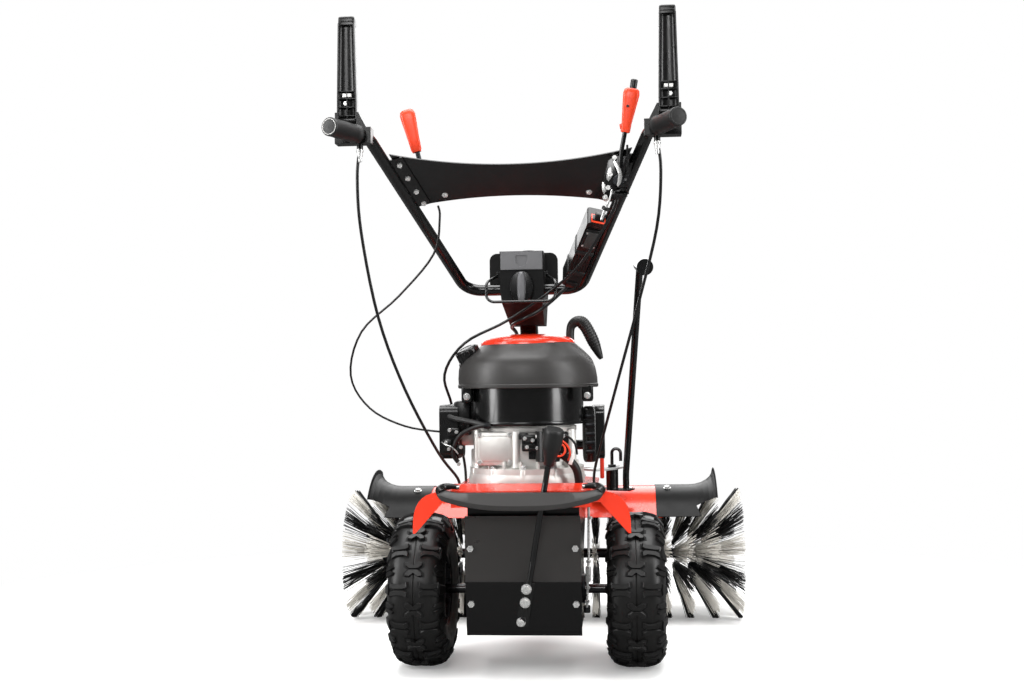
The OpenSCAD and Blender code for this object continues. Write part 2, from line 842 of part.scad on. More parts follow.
dome_steps = 8;
rope_boss_d = 26;
module top_cover() color(red) difference() {
  translate([0, engine_y, shroud_top])
    rotate_extrude()
      polygon(concat([[0, 0]], [for (i = [dome_steps : -1 : 0]) let (u = i / dome_steps)
        [dome_r * u, dome_h * (1 - u * u) + 1]]));
  translate([rope_at.x, rope_at.y, shroud_top - 1])
    cylinder(d = rope_boss_d + 2 * seat_gap, h = dome_h + 3);
  cap_clearance();
}

cap_h = 26;
module fuel_cap() color(plastic_black)
  translate(neck_at)
    rotate(neck_tilt)
      translate([0, 0, neck_len + seat_gap])
        difference() {
          cylinder(d = cap_d, h = cap_h);
          for (a = [0 : 30 : 330])
            rotate([0, 0, a])
              translate([cap_d / 2 + 1, 0, -1])
                cylinder(d = 6, h = cap_h + 2, $fn = 16);
        }

filter_size = [40, 126, 114];
filter_low = deck_top + 60;
filter_y = -12;
module air_filter_box() color(plastic_black)
  translate([filter_x - filter_size.x / 2, filter_y, filter_low])
    rotate([90, 0, 90])
      translate([0, filter_size.z / 2, -filter_size.x / 2])
        round_block([filter_size.y, filter_size.z, filter_size.x], 16);

carb_z = filter_low + 46;
module carburettor() color(steel_grey) {
  translate([filter_x, filter_y - 24, carb_z - 22])
    cube([carb_w, 48, 46]);
  translate([filter_x + carb_w / 2, filter_y + 4, carb_z - 36])
    cylinder(d = 26, h = 16);
  bent_bar([[filter_x + carb_w / 2, filter_y + 24, carb_z], [filter_x + carb_w / 2, 160, carb_z],
    [-fin_w / 2 - 0.2, 160, carb_z]], 24, 26);
  bent_bar([[filter_x + 8, filter_y - 60, filter_low + 20], [filter_x + 8, -128, filter_low + 20],
    [filter_x + 16, -136, filter_low + 82], [-62, -152, filter_low + 88]], 14, 13);
  translate([filter_x, filter_y - 62, filter_low + 8])
    cube([16, 24, 24]);
}

muffler_size = [26, 120, 114];
muffler_y = 46;
muffler_low = deck_top + 54;
module muffler() color(plastic_black) {
  translate([muffler_x, muffler_y, muffler_low + muffler_size.z / 2])
    rotate([90, 0, 90])
      round_block([muffler_size.y, muffler_size.z, muffler_size.x], 18);
  bent_bar([[muffler_x + 1, muffler_y + 40, cylinder_z], [100, muffler_y + 40, cylinder_z],
    [86, cylinder_y + 70, cylinder_z], [fin_w / 2 + 0.2, cylinder_y + 70, cylinder_z]], 20, 22);
}

starter_x = 52;
starter_d = 50;
starter_h = 62;
starter_cap_d = 22;
starter_low = deck_top + flange_h + 16;
starter_y = engine_y - case_d / 2 - starter_d / 2 + 10;
module starter_motor() color(plastic_black) difference() {
  union() {
    translate([starter_x, starter_y, starter_low])
      cylinder(d = starter_d, h = starter_h);
    translate([starter_x - 40, starter_y + 10, starter_low + 4])
      cube([66, 40, starter_h - 14]);
    translate([starter_x, starter_y, starter_low + starter_h])
      cylinder(d = starter_cap_d, h = 6);
  }
  translate([0, engine_y, deck_top])
    cylinder(d = case_d + 2 * seat_gap, h = case_h + 20);
}

// Loop handle of the recoil starter
loop_d = 14;
module recoil_grip() color(plastic_black) {
  y = rope_at.y;
  foot = shroud_top + 2 + seat_gap;
  bent_bar([[rope_at.x, y, foot], [rope_at.x, y, foot + 45], [rope_at.x + 32, y, foot + 45],
    [rope_at.x + 68, y, foot - 38]], 13, loop_d);
  rod([rope_at.x + 45, y, foot + 15], [rope_at.x + 63, y, foot - 26.5], loop_d + 5);
}

flywheel_d = 200;
module crankshaft() color(steel_grey) translate([0, engine_y, 0]) {
  translate([0, 0, tongue_top + 2])
    cylinder(d = crank_d, h = case_top + 60 - tongue_top);
  translate([0, 0, case_top + 20])
    cylinder(d = flywheel_d, h = 16);
  for (a = [0 : 30 : 330])
    rotate([0, 0, a])
      translate([flywheel_d / 2 - 34, -2, case_top + 36])
        cube([32, 4, 22]);
  translate([0, 0, deck_top + 50])
    cylinder(d = 120, h = 14);
  translate([0, 0, deck_top + 76])
    cylinder(d = 120, h = 14);
}

module engine_pulley() color(steel_grey) translate([0, engine_y, 0]) {
  for (z = [upper_belt_z, lower_belt_z])
    translate([0, 0, z])
      pulley_groove(engine_groove_r, crank_d + 2 * run_fit);
  translate([0, 0, lower_belt_z])
    difference() {
      cylinder(d = 2 * engine_groove_r, h = upper_belt_z - lower_belt_z);
      translate([0, 0, -1])
        cylinder(d = crank_d + 2 * run_fit, h = upper_belt_z - lower_belt_z + 2);
    }
}

module transaxle_pulley() color(steel_grey) translate([0, drive_y, 0]) {
  translate([0, 0, lower_belt_z])
    pulley_groove(drive_groove_r, drive_shaft_d - 1);
  translate([0, 0, axle_z - 20])
    cylinder(d = drive_shaft_d, h = lower_belt_z + pulley_h / 2 - axle_z + 20);
}

module drive_belts() color(rubber_black) translate([0, engine_y, 0]) {
  translate([0, 0, upper_belt_z])
    belt(engine_groove_r, brush_groove_r, swivel_y - engine_y);
  translate([0, 0, lower_belt_z])
    belt(engine_groove_r, drive_groove_r, drive_y - engine_y);
}

// Handle post and column head

post_foot_t = 8;
foot_inset = 12;
foot_half = tongue_w / 2 - foot_inset;
foot_rear = 50;
foot_front = 34;
post_r = 5;
post_top = bar_z - 40;
module handle_post() color(gloss_black) {
  difference() {
    translate([0, post_y(deck_top), deck_top])
      rotate([post_lean, 0, 0])
        translate([0, 0, -60])
          difference() {
            round_block([post_w, post_w, 60 + (post_top - deck_top) / cos(post_lean)], post_r);
            translate([0, 0, -1])
              round_block([post_w - 6, post_w - 6, 1000], 3);
          }
    translate([-60, post_y(deck_top) - 100, deck_top - 100])
      cube([120, 240, 100 + post_foot_t - 1]);
  }
  translate([-foot_half, post_y(deck_top) - foot_rear, deck_top])
    cube([2 * foot_half, foot_rear + foot_front, post_foot_t]);
}

head_front_y = bar_y - 44;
head_top = bar_z + 78;
head_low = bar_z - 72;
head_top_half = 46;
head_low_half = 38;
ear_half = 73;
head_fit = 0.3;
module head_front() {
  polygon([[-head_low_half, head_low], [head_low_half, head_low], [head_top_half, bar_z],
    [head_top_half, head_top], [-head_top_half, head_top], [-head_top_half, bar_z]]);
}
module head_side() {
  polygon([[head_front_y, head_top], [head_front_y, bar_z - 30], [post_y(head_low) - 52, head_low],
    [post_y(head_low) + 30, head_low], [post_y(bar_z) + 40, bar_z - 10], [bar_y + 52, head_top]]);
}
module column_head() color(satin_black) difference() {
  union() {
    intersection() {
      rotate([90, 0, 0])
        translate([0, 0, -through])
          linear_extrude(2 * through)
            head_front();
      rotate([90, 0, 90])
        translate([0, 0, -through])
          linear_extrude(2 * through)
            head_side();
    }
    translate([0, bar_y + 20, bar_z + 40])
      rotate([90, 0, 0])
        translate([0, 0, -6])
          round_block([2 * ear_half, 78, 12], 16);
    translate([12, bar_y + 10, head_top - 1])
      cylinder(d = 26, h = 6);
  }
  translate([0, bar_y, bar_z])
    x_bar(-through, through, bar_d + 2 * run_fit);
  translate([0, post_y(deck_top), deck_top])
    rotate([post_lean, 0, 0])
      round_block([post_w + head_fit, post_w + head_fit,
        (post_top - deck_top) / cos(post_lean) + head_fit], post_r);
  translate([0, head_front_y - 1, knob_z])
    rotate([-90, 0, 0])
      cylinder(d = knob_pin_d + 2 * run_fit, h = 24);
}

panel_h = 38;
panel_t = 3;
module switch_panel() color("#8d8d8f") difference() {
  translate([-head_top_half + 2, head_front_y - panel_t, head_top - panel_h - 1])
    cube([2 * head_top_half - 4, panel_t, panel_h]);
  translate([0, head_front_y - panel_t - 1, head_top - 20])
    rotate([-90, 0, 0])
      linear_extrude(panel_t - 0.5)
        polygon([[-12, -11], [12, -11], [12, 4], [6, 11], [0, 13], [-6, 11], [-12, 4]]);
}

knob_z = bar_z + 2;
knob_d = 50;
knob_pin_d = 10;
module switch_knob() color(plastic_black)
  translate([0, head_front_y - seat_gap, knob_z])
    rotate([90, 0, 0]) {
      cylinder(d = knob_d, h = 12);
      translate([-7, -knob_d / 2 - 6, 0])
        cube([14, knob_d + 12, 26]);
      translate([0, 0, -20])
        cylinder(d = knob_pin_d, h = 21);
    }

// Wire loop that keeps the cables in front of the column
wire_d = 6;
guide_y = head_front_y - 20;
guide_half = 72;
guide_clip = 8;
module cable_guide() color(gloss_black) {
  clip_x = head_top_half + guide_clip / 2;
  bent_bar([[-clip_x, bar_y - 26, bar_z + 30], [-guide_half, guide_y, bar_z + 12],
    [-guide_half, guide_y - 16, bar_z - 30], [guide_half, guide_y - 16, bar_z - 30],
    [guide_half, guide_y, bar_z + 12], [clip_x, bar_y - 26, bar_z + 30]], 18, wire_d);
  for (x = [-head_top_half - guide_clip, head_top_half])
    translate([x, bar_y - 32, bar_z + 24])
      cube([guide_clip, 12, 12]);
}

// Handlebar

module handlebar_half() {
  bent_bar([[0, bar_y, bar_z], [bar_low_half, bar_y, bar_z], bar_corner,
    bar_corner + tail_dir * (tail_len - grip_end)], bar_bend, bar_d);
  on_leg(1)
    translate([-bar_d / 2 - 26, -strip_high, -strip_t / 2])
      cube([28, strip_high - strip_low, strip_t]);
}
strip_t = 3;
strip_low = 262;
strip_high = 392;
module handlebar() color(gloss_black) {
  handlebar_half();
  mirror([1, 0, 0])
    handlebar_half();
}

// Console sheet: arched top and bottom edges between the legs
console_top = 356;
console_top_rise = 33;
console_low = 274;
console_low_drop = 20;
console_inset = 17;
console_steps = 12;
function leg_x(v) = bar_low_half + v * tan(leg_spread);
console_top_half = leg_x(console_top + console_top_rise) - console_inset;
console_low_half = leg_x(console_low - console_low_drop) - console_inset;
module console_panel() color(gloss_black)
  on_bar()
    translate([0, 0, strip_t / 2])
      linear_extrude(console_t)
        polygon(concat(
          [for (i = [-console_steps : console_steps]) let (u = i / console_steps)
            [u * console_top_half, -console_top - console_top_rise * u * u]],
          [for (i = [console_steps : -1 : -console_steps]) let (u = i / console_steps)
            [u * console_low_half, -console_low + console_low_drop * u * u]]));

console_bolt_v = [268, 302, 340, 376];
module console_bolts() color(zinc)
  for (s = [-1, 1], v = console_bolt_v)
    on_leg(s)
      translate([-s * (bar_d / 2 + 14), -v, -strip_t / 2])
        rotate([180, 0, 0])
          cylinder(d = 11, h = 4, $fn = 6);

module grips() color(rubber_black)
  for (s = [0, 1])
    mirror([s, 0, 0])
      difference() {
        rod(bar_corner + tail_dir * (tail_len - grip_len), bar_corner + tail_dir * tail_len, grip_d);
        rod(bar_corner + tail_dir * (tail_len - grip_len - 5),
          bar_corner + tail_dir * (tail_len - grip_end + run_fit), bar_d + 2 * run_fit);
      }

// Perch of a clutch lever, on the right leg
ear_t = 4;
perch_play = 0.4;
module perch() difference() {
  union() {
    translate([bar_top_half - 10, grip_y - 31, grip_z - 15])
      cube([clutch_x + clutch_w / 2 + perch_play + ear_t - bar_top_half + 10, 31, 30]);
    for (x = [clutch_x - clutch_w / 2 - perch_play - ear_t, clutch_x + clutch_w / 2 + perch_play])
      translate([x, clutch_y - 14, grip_z])
        cube([ear_t, 28, clutch_z - grip_z + 14]);
    translate([0, clutch_y, clutch_z])
      x_bar(clutch_x - clutch_w / 2 - perch_play - 1, clutch_x + clutch_w / 2 + perch_play + 1, pin_d);
    translate([clutch_x - clutch_w / 2 - perch_play - ear_t, clutch_y, 0])
      rotate([90, 0, 0])
        translate([0, 0, -14])
          linear_extrude(28)
            polygon([[0.5, clutch_z + 14], [-14, clutch_z - 14], [-20, grip_z - 15], [0.5, grip_z - 15]]);
    translate([bar_top_half + 14, grip_y - 14, grip_z - 24])
      cylinder(d = 12, h = 12);
  }
  bent_bar([[bar_low_half, bar_y, bar_z], bar_corner, bar_corner + tail_dir * tail_len], bar_bend,
    bar_d + 2 * run_fit);
}
module lever_perches() color(plastic_black) {
  perch();
  mirror([1, 0, 0])
    perch();
}

// Clutch lever: a channel standing on its pivot, open to the rear
clutch_wall = 3;
clutch_foot = 12;
module clutch_lever() translate([clutch_x, clutch_y, clutch_z]) difference() {
  union() {
    translate([-clutch_w / 2, -clutch_depth / 2, 0])
      cube([clutch_w, clutch_depth, clutch_len]);
    x_bar(-clutch_w / 2, clutch_w / 2, clutch_depth);
  }
  translate([-clutch_w / 2 + clutch_wall, -clutch_depth / 2 - 1, clutch_foot])
    cube([clutch_w - 2 * clutch_wall, clutch_depth - clutch_wall + 1,
      clutch_len - clutch_foot - clutch_wall]);
  x_bar(-clutch_w, clutch_w, pin_d + 2 * run_fit);
}
module left_clutch_lever() color(plastic_black)
  mirror([1, 0, 0])
    clutch_lever();
module right_clutch_lever() color(plastic_black)
  clutch_lever();

// Throttle lever on the console
throttle_x = -178;
throttle_v = 338;
throttle_pin = 8;
function on_console(x, v, h) = [x, bar_y - v * cos(bar_slope) + h * sin(bar_slope),
  bar_z + v * sin(bar_slope) + h * cos(bar_slope)];
throttle_at = on_console(throttle_x, throttle_v, 16);
module throttle_lever() color(red) difference() {
  union() {
    translate(throttle_at)
      x_bar(-5, 5, 20);
    translate(throttle_at)
      rotate([6, -14, 0]) {
        translate([-7, -4, 4])
          cube([14, 8, 50]);
        translate([0, 0, 40])
          rotate([90, 0, 0])
            translate([0, 32, -8])
              round_block([28, 70, 16], 8);
      }
  }
  translate(throttle_at)
    x_bar(-20, 20, throttle_pin + 2 * run_fit);
}

// Ratchet hand lever under the right side of the console
brake_x = 206;
brake_v = 348;
brake_drop = 44;
brake_at = on_console(brake_x, brake_v, -brake_drop);
brake_lean = [10, 6, 0];
brake_pin = 10;
bracket_x = brake_x + 15;
bracket_t = 4;
module brake_bracket() color(plastic_black) {
  translate(brake_at)
    x_bar(-8, bracket_x - brake_x + 1, brake_pin);
  on_bar()
    translate([bracket_x, 0, 0])
      rotate([90, 0, 90])
        linear_extrude(bracket_t)
          polygon([[-brake_v - 10, -strip_t / 2], [-brake_v - 52, -strip_t / 2],
            [-brake_v - 30, -brake_drop - 18], [-brake_v + 18, -brake_drop - 18],
            [-brake_v + 18, -brake_drop + 18], [-brake_v - 10, -brake_drop + 26]]);
  on_bar()
    translate([brake_x - 14, -brake_v + 17, -brake_drop - 18])
      cube([bracket_x - brake_x + 15, 8, 18]);
  translate(throttle_at)
    x_bar(-14, 14, throttle_pin);
  for (x = [-14, 10])
    translate(throttle_at)
      translate([x, 0, 0])
        rotate([-bar_slope, 0, 0])
          translate([0, -8, -16 + strip_t / 2 + console_t])
            cube([4, 16, 16 - strip_t / 2 - console_t]);
}
brake_grip_low = 82;
brake_grip_len = 92;
button_d = 14;
button_len = 12;
module brake_lever() color(red) translate(brake_at) difference() {
  union() {
    x_bar(-7, 7, 30);
    rotate(brake_lean) {
      translate([-5, -6, 10])
        cube([10, 12, brake_grip_low]);
      translate([0, 0, brake_grip_low])
        cylinder(d1 = 22, d2 = 32, h = brake_grip_len);
    }
  }
  x_bar(-20, 20, brake_pin + 2 * run_fit);
  rotate(brake_lean)
    translate([0, 0, brake_grip_low + brake_grip_len - 30])
      cylinder(d = button_d + 2 * run_fit, h = 40);
}
module brake_button() color(plastic_black)
  translate(brake_at)
    rotate(brake_lean)
      translate([0, 0, brake_grip_low + brake_grip_len - 18])
        cylinder(d = button_d, h = 18 + button_len);

// Battery box inside the right leg
battery = [36, 190, 44];
module battery_box() color(plastic_black)
  on_leg(1)
    translate([-bar_d / 2 - battery.x / 2 - seat_gap, -30 - battery.y / 2, -battery.z / 2 - 6])
      round_block(battery, 5);

// Shift lever: turns the selector shaft of the transaxle
shift_tilt = 10.3;
shift_y = guard_y - 12;
gate_y = cowl_rear_y - gate_slot / 2;
shift_bend_h = 285;
bracket_w = 24;
bracket_h = 88;
module on_shift() {
  translate([0, 0, selector_z])
    rotate([0, shift_tilt, 0])
      children();
}
shift_foot = [0, shift_y, 0];
shift_gate_low = [0, gate_y, 224];
shift_gate_high = [0, gate_y, shift_bend_h];
shift_tip = [0, gate_y - 14, shift_len];
module shift_lever() color(gloss_black) {
  on_shift() {
    bent_bar([shift_foot + [0, 0, 20], shift_foot + [0, 0, 120], shift_gate_low, shift_gate_high,
      shift_tip], 30, shift_d);
    translate([-bracket_w / 2, shift_y - 2, -bracket_w / 2])
      cube([bracket_w, 5, bracket_h]);
    for (z = [0, 38, 68])
      translate([0, shift_y - 2, z])
        rotate([90, 0, 0])
          cylinder(d = 13, h = 5, $fn = 6);
  }
  translate([0, shift_y, selector_z])
    rotate([-90, 0, 0])
      cylinder(d = selector_d, h = -transaxle_d / 2 + 30 - shift_y);
}

knob_len = 76;
knob_low_d = 20;
knob_top_d = 36;
module shift_knob() color(plastic_black)
  on_shift()
    translate(shift_tip)
      rotate([atan2(14, shift_len - shift_bend_h), 0, 0])
        translate([0, 0, -24])
          difference() {
            cylinder(d1 = knob_low_d, d2 = knob_top_d, h = knob_len);
            translate([0, 0, -1])
              cylinder(d = shift_d + 2 * run_fit, h = 25);
          }

// Brush head

module brush_gearbox() color(cast_alloy) difference() {
  union() {
    translate([0, brush_reach, brush_z])
      x_bar(-gear_case_w / 2, gear_case_w / 2, gear_case_d);
    translate([0, swivel_y, brush_z - 62])
      cylinder(d = worm_case_d, h = cover_top - brush_z + 62);
    translate([0, swivel_y, cover_top - 1])
      cylinder(d = neck_d, h = tongue_top + ring_t + seat_gap - cover_top + 1);
    translate([0, swivel_y, tongue_top + seat_gap])
      cylinder(d = neck_d + 8, h = ring_t);
  }
  translate([0, brush_reach, brush_z])
    x_bar(-gear_case_w, gear_case_w, shaft_d + 2 * run_fit);
  translate([0, brush_reach, brush_z])
    x_bar(-gear_case_w / 2 + 10, gear_case_w / 2 - 10, gear_case_d - 16);
  translate([0, swivel_y, brush_z - 50])
    cylinder(d = worm_d + 6, h = 100);
  translate([0, swivel_y, brush_z - 80])
    cylinder(d = input_d + 2 * run_fit, h = 400);
}

module brush_pulley() color(steel_grey) translate([0, swivel_y, 0]) {
  translate([0, 0, brush_z - 60])
    cylinder(d = input_d, h = deck_top - brush_z + 60);
  translate([0, 0, brush_z - 44])
    cylinder(d = worm_d, h = 88);
  translate([0, 0, upper_belt_z])
    pulley_groove(brush_groove_r, input_d - 1);
}

sleeve_t = 6;
sleeve_gap = 0.4;
module brush_shaft() color(steel_grey) translate([0, brush_reach, brush_z]) {
  x_bar(-hub_end - 8, hub_end + 8, shaft_d);
  x_bar(-10, 10, 2 * (worm_offset - worm_d / 2 - 1));
  for (s = [-1, 1], x = [hub_gap / 2 + 4, hub_end - 16])
    x_bar(s * x - (s < 0 ? 12 : 0), s * x + (s < 0 ? 0 : 12), hub_d - 2 * sleeve_t - 2 * sleeve_gap);
}

// Bristles grow out of alternate cells of a sleeve; outer rings lean further outward
cell_count = 2 * strand_count;
cell_deg = 360 / cell_count;
ring_pitch = (hub_end - hub_gap / 2) / ring_count;
function ring_x(i) = hub_gap / 2 + (i + 0.5) * ring_pitch;
ring_last = ring_count - 1;
function ring_lean(i) = (brush_len / 2 - strand_tip / 2 - ring_x(ring_last)) * pow(i / ring_last, 1.6);
// Edges of the cell rows along the sleeve
row_x = [for (i = [0 : ring_count - 1], e = [-1, 1]) ring_x(i) + e * strand_base / 2];
sleeve_x = concat([hub_gap / 2], row_x, [hub_end]);
rows = len(sleeve_x);
function around(r, k) = let (a = (k - 0.5) * cell_deg - 90) [r * cos(a), r * sin(a)];
function sleeve_point(r, row, k) = let (p = around(r, k)) [sleeve_x[row], p.x, p.y];
function outer(row, k) = row * cell_count + (k + cell_count) % cell_count;
function inner(end, k) = rows * cell_count + end * cell_count + (k + cell_count) % cell_count;
tip_base = (rows + 2) * cell_count;
function tip(ring, j, c) = tip_base + 4 * (ring * strand_count + j) + c;
function tip_points(ring, j) = let (
    a = (2 * j + ring % 2) * cell_deg - 90,
    half = asin(strand_tip / 2 / brush_z),
    x = ring_x(ring) + ring_lean(ring))
  [for (c = [[-1, -1], [1, -1], [1, 1], [-1, 1]])
    [x + c.x * strand_tip / 2, brush_z * cos(a + c.y * half), brush_z * sin(a + c.y * half)]];
function quad(a, b, c, d) = [[a, b, c], [a, c, d]];
function has_strand(row, k) = row % 2 == 1 && row < rows - 1 && (k + (row - 1) / 2) % 2 == 0;
function strand_faces(row, k) = let (ring = (row - 1) / 2, j = (k - ring % 2) / 2,
    b = [outer(row, k), outer(row + 1, k), outer(row + 1, k + 1), outer(row, k + 1)])
  concat([for (c = [0 : 3]) each quad(b[c], b[(c + 1) % 4], tip(ring, j, (c + 1) % 4), tip(ring, j, c))],
    quad(tip(ring, j, 0), tip(ring, j, 1), tip(ring, j, 2), tip(ring, j, 3)));
module bristles() {
  sleeve_r = hub_d / 2;
  bore_r = sleeve_r - sleeve_t;
  points = concat(
    [for (row = [0 : rows - 1], k = [0 : cell_count - 1]) sleeve_point(sleeve_r, row, k)],
    [for (row = [0, rows - 1], k = [0 : cell_count - 1]) sleeve_point(bore_r, row, k)],
    [for (ring = [0 : ring_count - 1], j = [0 : strand_count - 1]) each tip_points(ring, j)]);
  skin = [for (row = [0 : rows - 2], k = [0 : cell_count - 1]) each has_strand(row, k)
    ? strand_faces(row, k)
    : quad(outer(row, k), outer(row + 1, k), outer(row + 1, k + 1), outer(row, k + 1))];
  bore = [for (k = [0 : cell_count - 1])
    each quad(inner(0, k), inner(0, k + 1), inner(1, k + 1), inner(1, k))];
  ends = [for (k = [0 : cell_count - 1]) each concat(
    quad(outer(0, k), outer(0, k + 1), inner(0, k + 1), inner(0, k)),
    quad(outer(rows - 1, k), inner(1, k), inner(1, k + 1), outer(rows - 1, k + 1)))];
  translate([0, brush_reach, brush_z])
    polyhedron(points, [for (f = concat(skin, bore, ends)) [f[0], f[2], f[1]]]);
}
module right_bristles() color("#d8d5cc")
  bristles();
module left_bristles() color("#d8d5cc")
  mirror([1, 0, 0])
    bristles();

module centre_cover() color(red) difference() {
  over_brush(cover_rear_deg, cover_front_deg, [[cover_r, -centre_cover_w / 2],
    [cover_r + cover_t, -centre_cover_w / 2], [cover_r + cover_t, centre_cover_w / 2],
    [cover_r, centre_cover_w / 2]]);
  translate([0, swivel_y, brush_z])
    cylinder(d = worm_case_d + 2 * run_fit, h = 300);
}

lap = 14;
side_r = cover_r + cover_t + 0.15;
flare_start = side_cover_reach - 62;
function flare(t, off) = [side_r + off + flare_h * (1 - cos(t)),
  flare_start + (side_cover_reach - flare_start) * sin(t)];
module side_cover() difference() {
  over_brush(cover_rear_deg, cover_front_deg - 4, concat([[side_r, centre_cover_w / 2 - lap]],
    [for (t = [0 : 15 : 90]) flare(t, 0)], [for (t = [90 : -15 : 0]) flare(t, cover_t)],
    [[side_r + cover_t, centre_cover_w / 2 - lap]]));
  translate([side_cover_reach - 30, brush_reach - side_r, brush_z + side_r * sin(cover_rear_deg) - 20])
    rotate([0, -24, 0])
      translate([0, -120, -100])
        cube([120, 200, 150]);
}
module side_covers() color(gloss_black) {
  side_cover();
  mirror([1, 0, 0])
    side_cover();
}

// Angle lever: arm on the cover, tube leaning back to the operator, grip on its end
lever_at = [212, swivel_y - 92, cover_top];
lever_run = -350;
lever_rise = 534;
lever_out = 38;
lever_top = lever_at + [lever_out, lever_run, lever_rise];
arm_w = 44;
lever_bend = 36;
clamp_boss_d = 30;
module angle_lever() color(gloss_black) {
  difference() {
    union() {
      translate([0, swivel_y, cover_top])
        cylinder(d = neck_d + 34, h = arm_t);
      translate([0, swivel_y, cover_top])
        rotate([0, 0, atan2(lever_at.y - swivel_y, lever_at.x)])
          translate([0, -arm_w / 2, 0])
            cube([norm([lever_at.x, lever_at.y - swivel_y]) + 14, arm_w, arm_t]);
      translate([0, swivel_y, cover_top])
        rotate([0, 0, clamp_deg])
          translate([clamp_r, 0, 0])
            cylinder(d = clamp_boss_d, h = deck_top - cover_top - seat_gap);
      difference() {
        bent_bar([lever_at - [0, 0, 20], lever_at + [0, 0, 40], lever_top, lever_top + [4, -44, -8]],
          lever_bend, angle_d);
        translate(lever_at - [50, 50, 60])
          cube([100, 100, 60]);
      }
    }
    translate([0, swivel_y, cover_top - 1])
      cylinder(d = neck_d + 2 * run_fit, h = arm_t + 2);
    translate([0, swivel_y, cover_top + arm_t])
      rotate([0, 0, clamp_deg])
        translate([clamp_r, 0, 0])
          cylinder(d = clamp_d + 2 * run_fit, h = 100);
  }
  rod(lever_top + [2.5, -28, -5], lever_top + [9, -96, -18], angle_grip_d);
}

// Swing handle of the angle clamp
clamp_rise = 46;
clamp_reach = 24;
clamp_turn_down = 30;
clamp_bend = 11;
clamp_wire_d = 8;
module angle_clamp() color(gloss_black)
  translate([0, swivel_y, 0])
    rotate([0, 0, clamp_deg])
      translate([clamp_r, 0, deck_top]) {
        translate([0, 0, -30])
          cylinder(d = clamp_d, h = 38);
        translate([0, 0, sector_t + seat_gap])
          cylinder(d = 20, h = 6);
        bent_bar([[0, 0, sector_t], [0, 0, sector_t + clamp_rise], [clamp_reach, 0, sector_t + clamp_rise],
          [clamp_reach, 0, sector_t + clamp_rise - clamp_turn_down]], clamp_bend, clamp_wire_d);
      }

// Control cables: hand-chosen points, from the handlebar to the deck or the engine
left_clutch_route = [[-278, -415, 1055], [-284, -412, 1000], [-283, -385, 900], [-262, -330, 740],
  [-225, -250, 600], [-175, -150, 470], [-140, -106, 412], [-138, -104, 389]];
right_clutch_route = [[278, -415, 1055], [284, -405, 1000], [276, -360, 900], [240, -270, 760],
  [200, -170, 620], [166, -90, 500], [146, -60, 425], [144, -58, 389]];
throttle_route = [[-152, -266, 964], [-150, -258, 940], [-166, -240, 870], [-244, -200, 790],
  [-330, -160, 720], [-362, -120, 630], [-330, -80, 560], [-260, -50, 520], [-181, -36, 506]];
brake_route = [[198, -347, 968], [196, -316, 943], [130, -215, 850], [62, -130, 800], [-30, -118, 740],
  [-120, -122, 694], [-174, -40, 630], [-172, 60, 560], [-150, 86, 440], [-146, 88, 389]];
harness_route = [[102, -95, 828], [92, -99, 808], [40, -114, 762], [0, -106, 742], [-27, -40, 731],
  [-28, 100, 718], [-28, 150, 668], [-34, 176, 600], [-40, 174, 550], [-40, 173, 519]];
clutch_cable_d = 6;
throttle_cable_d = 4.5;
harness_d = 8;
module left_clutch_cable() color(rubber_black)
  swept_cord(glide(left_clutch_route, 2), clutch_cable_d);
module right_clutch_cable() color(rubber_black)
  swept_cord(glide(right_clutch_route, 2), clutch_cable_d);
module throttle_cable() color(rubber_black)
  swept_cord(glide(throttle_route, 2), throttle_cable_d);
module brake_cable() color(rubber_black)
  swept_cord(glide(brake_route, 2), clutch_cable_d);
module wiring_harness() color(rubber_black)
  swept_cord(glide(harness_route, 2), harness_d);

// Places a piece in the machine's frame
module machine() {
  translate([0, origin_y, 0])
    children();
}

machine() chassis_frame();
machine() deck_plate();
machine() lock_sector();
machine() rear_cowl();
machine() gate_panel();
machine() guard_plate();
machine() frame_bolts();
machine() axle_bearings();
machine() transaxle_case();
machine() axle_shaft();
machine() wheel_rims();
machine() tyres();
machine() crankcase();
machine() cylinder_block();
machine() blower_housing();
machine() engine_shroud();
machine() top_cover();
machine() fuel_cap();
machine() air_filter_box();
machine() carburettor();
machine() muffler();
machine() starter_motor();
machine() recoil_grip();
machine() crankshaft();
machine() engine_pulley();
machine() transaxle_pulley();
machine() drive_belts();
machine() handle_post();
machine() column_head();
machine() switch_panel();
machine() switch_knob();
machine() cable_guide();
machine() handlebar();
machine() console_panel();
machine() console_bolts();
machine() grips();
machine() lever_perches();
machine() left_clutch_lever();
machine() right_clutch_lever();
machine() throttle_lever();
machine() brake_bracket();
machine() brake_lever();
machine() brake_button();
machine() battery_box();
machine() shift_lever();
machine() shift_knob();
machine() brush_gearbox();
machine() brush_pulley();
machine() brush_shaft();
machine() left_bristles();
machine() right_bristles();
machine() centre_cover();
machine() side_covers();
machine() angle_lever();
machine() angle_clamp();
machine() left_clutch_cable();
machine() right_clutch_cable();
machine() throttle_cable();
machine() brake_cable();
machine() wiring_harness();
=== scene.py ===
import bpy
import bmesh
import json
import math
import random
from mathutils import Matrix, Vector
from mathutils.bvhtree import BVHTree


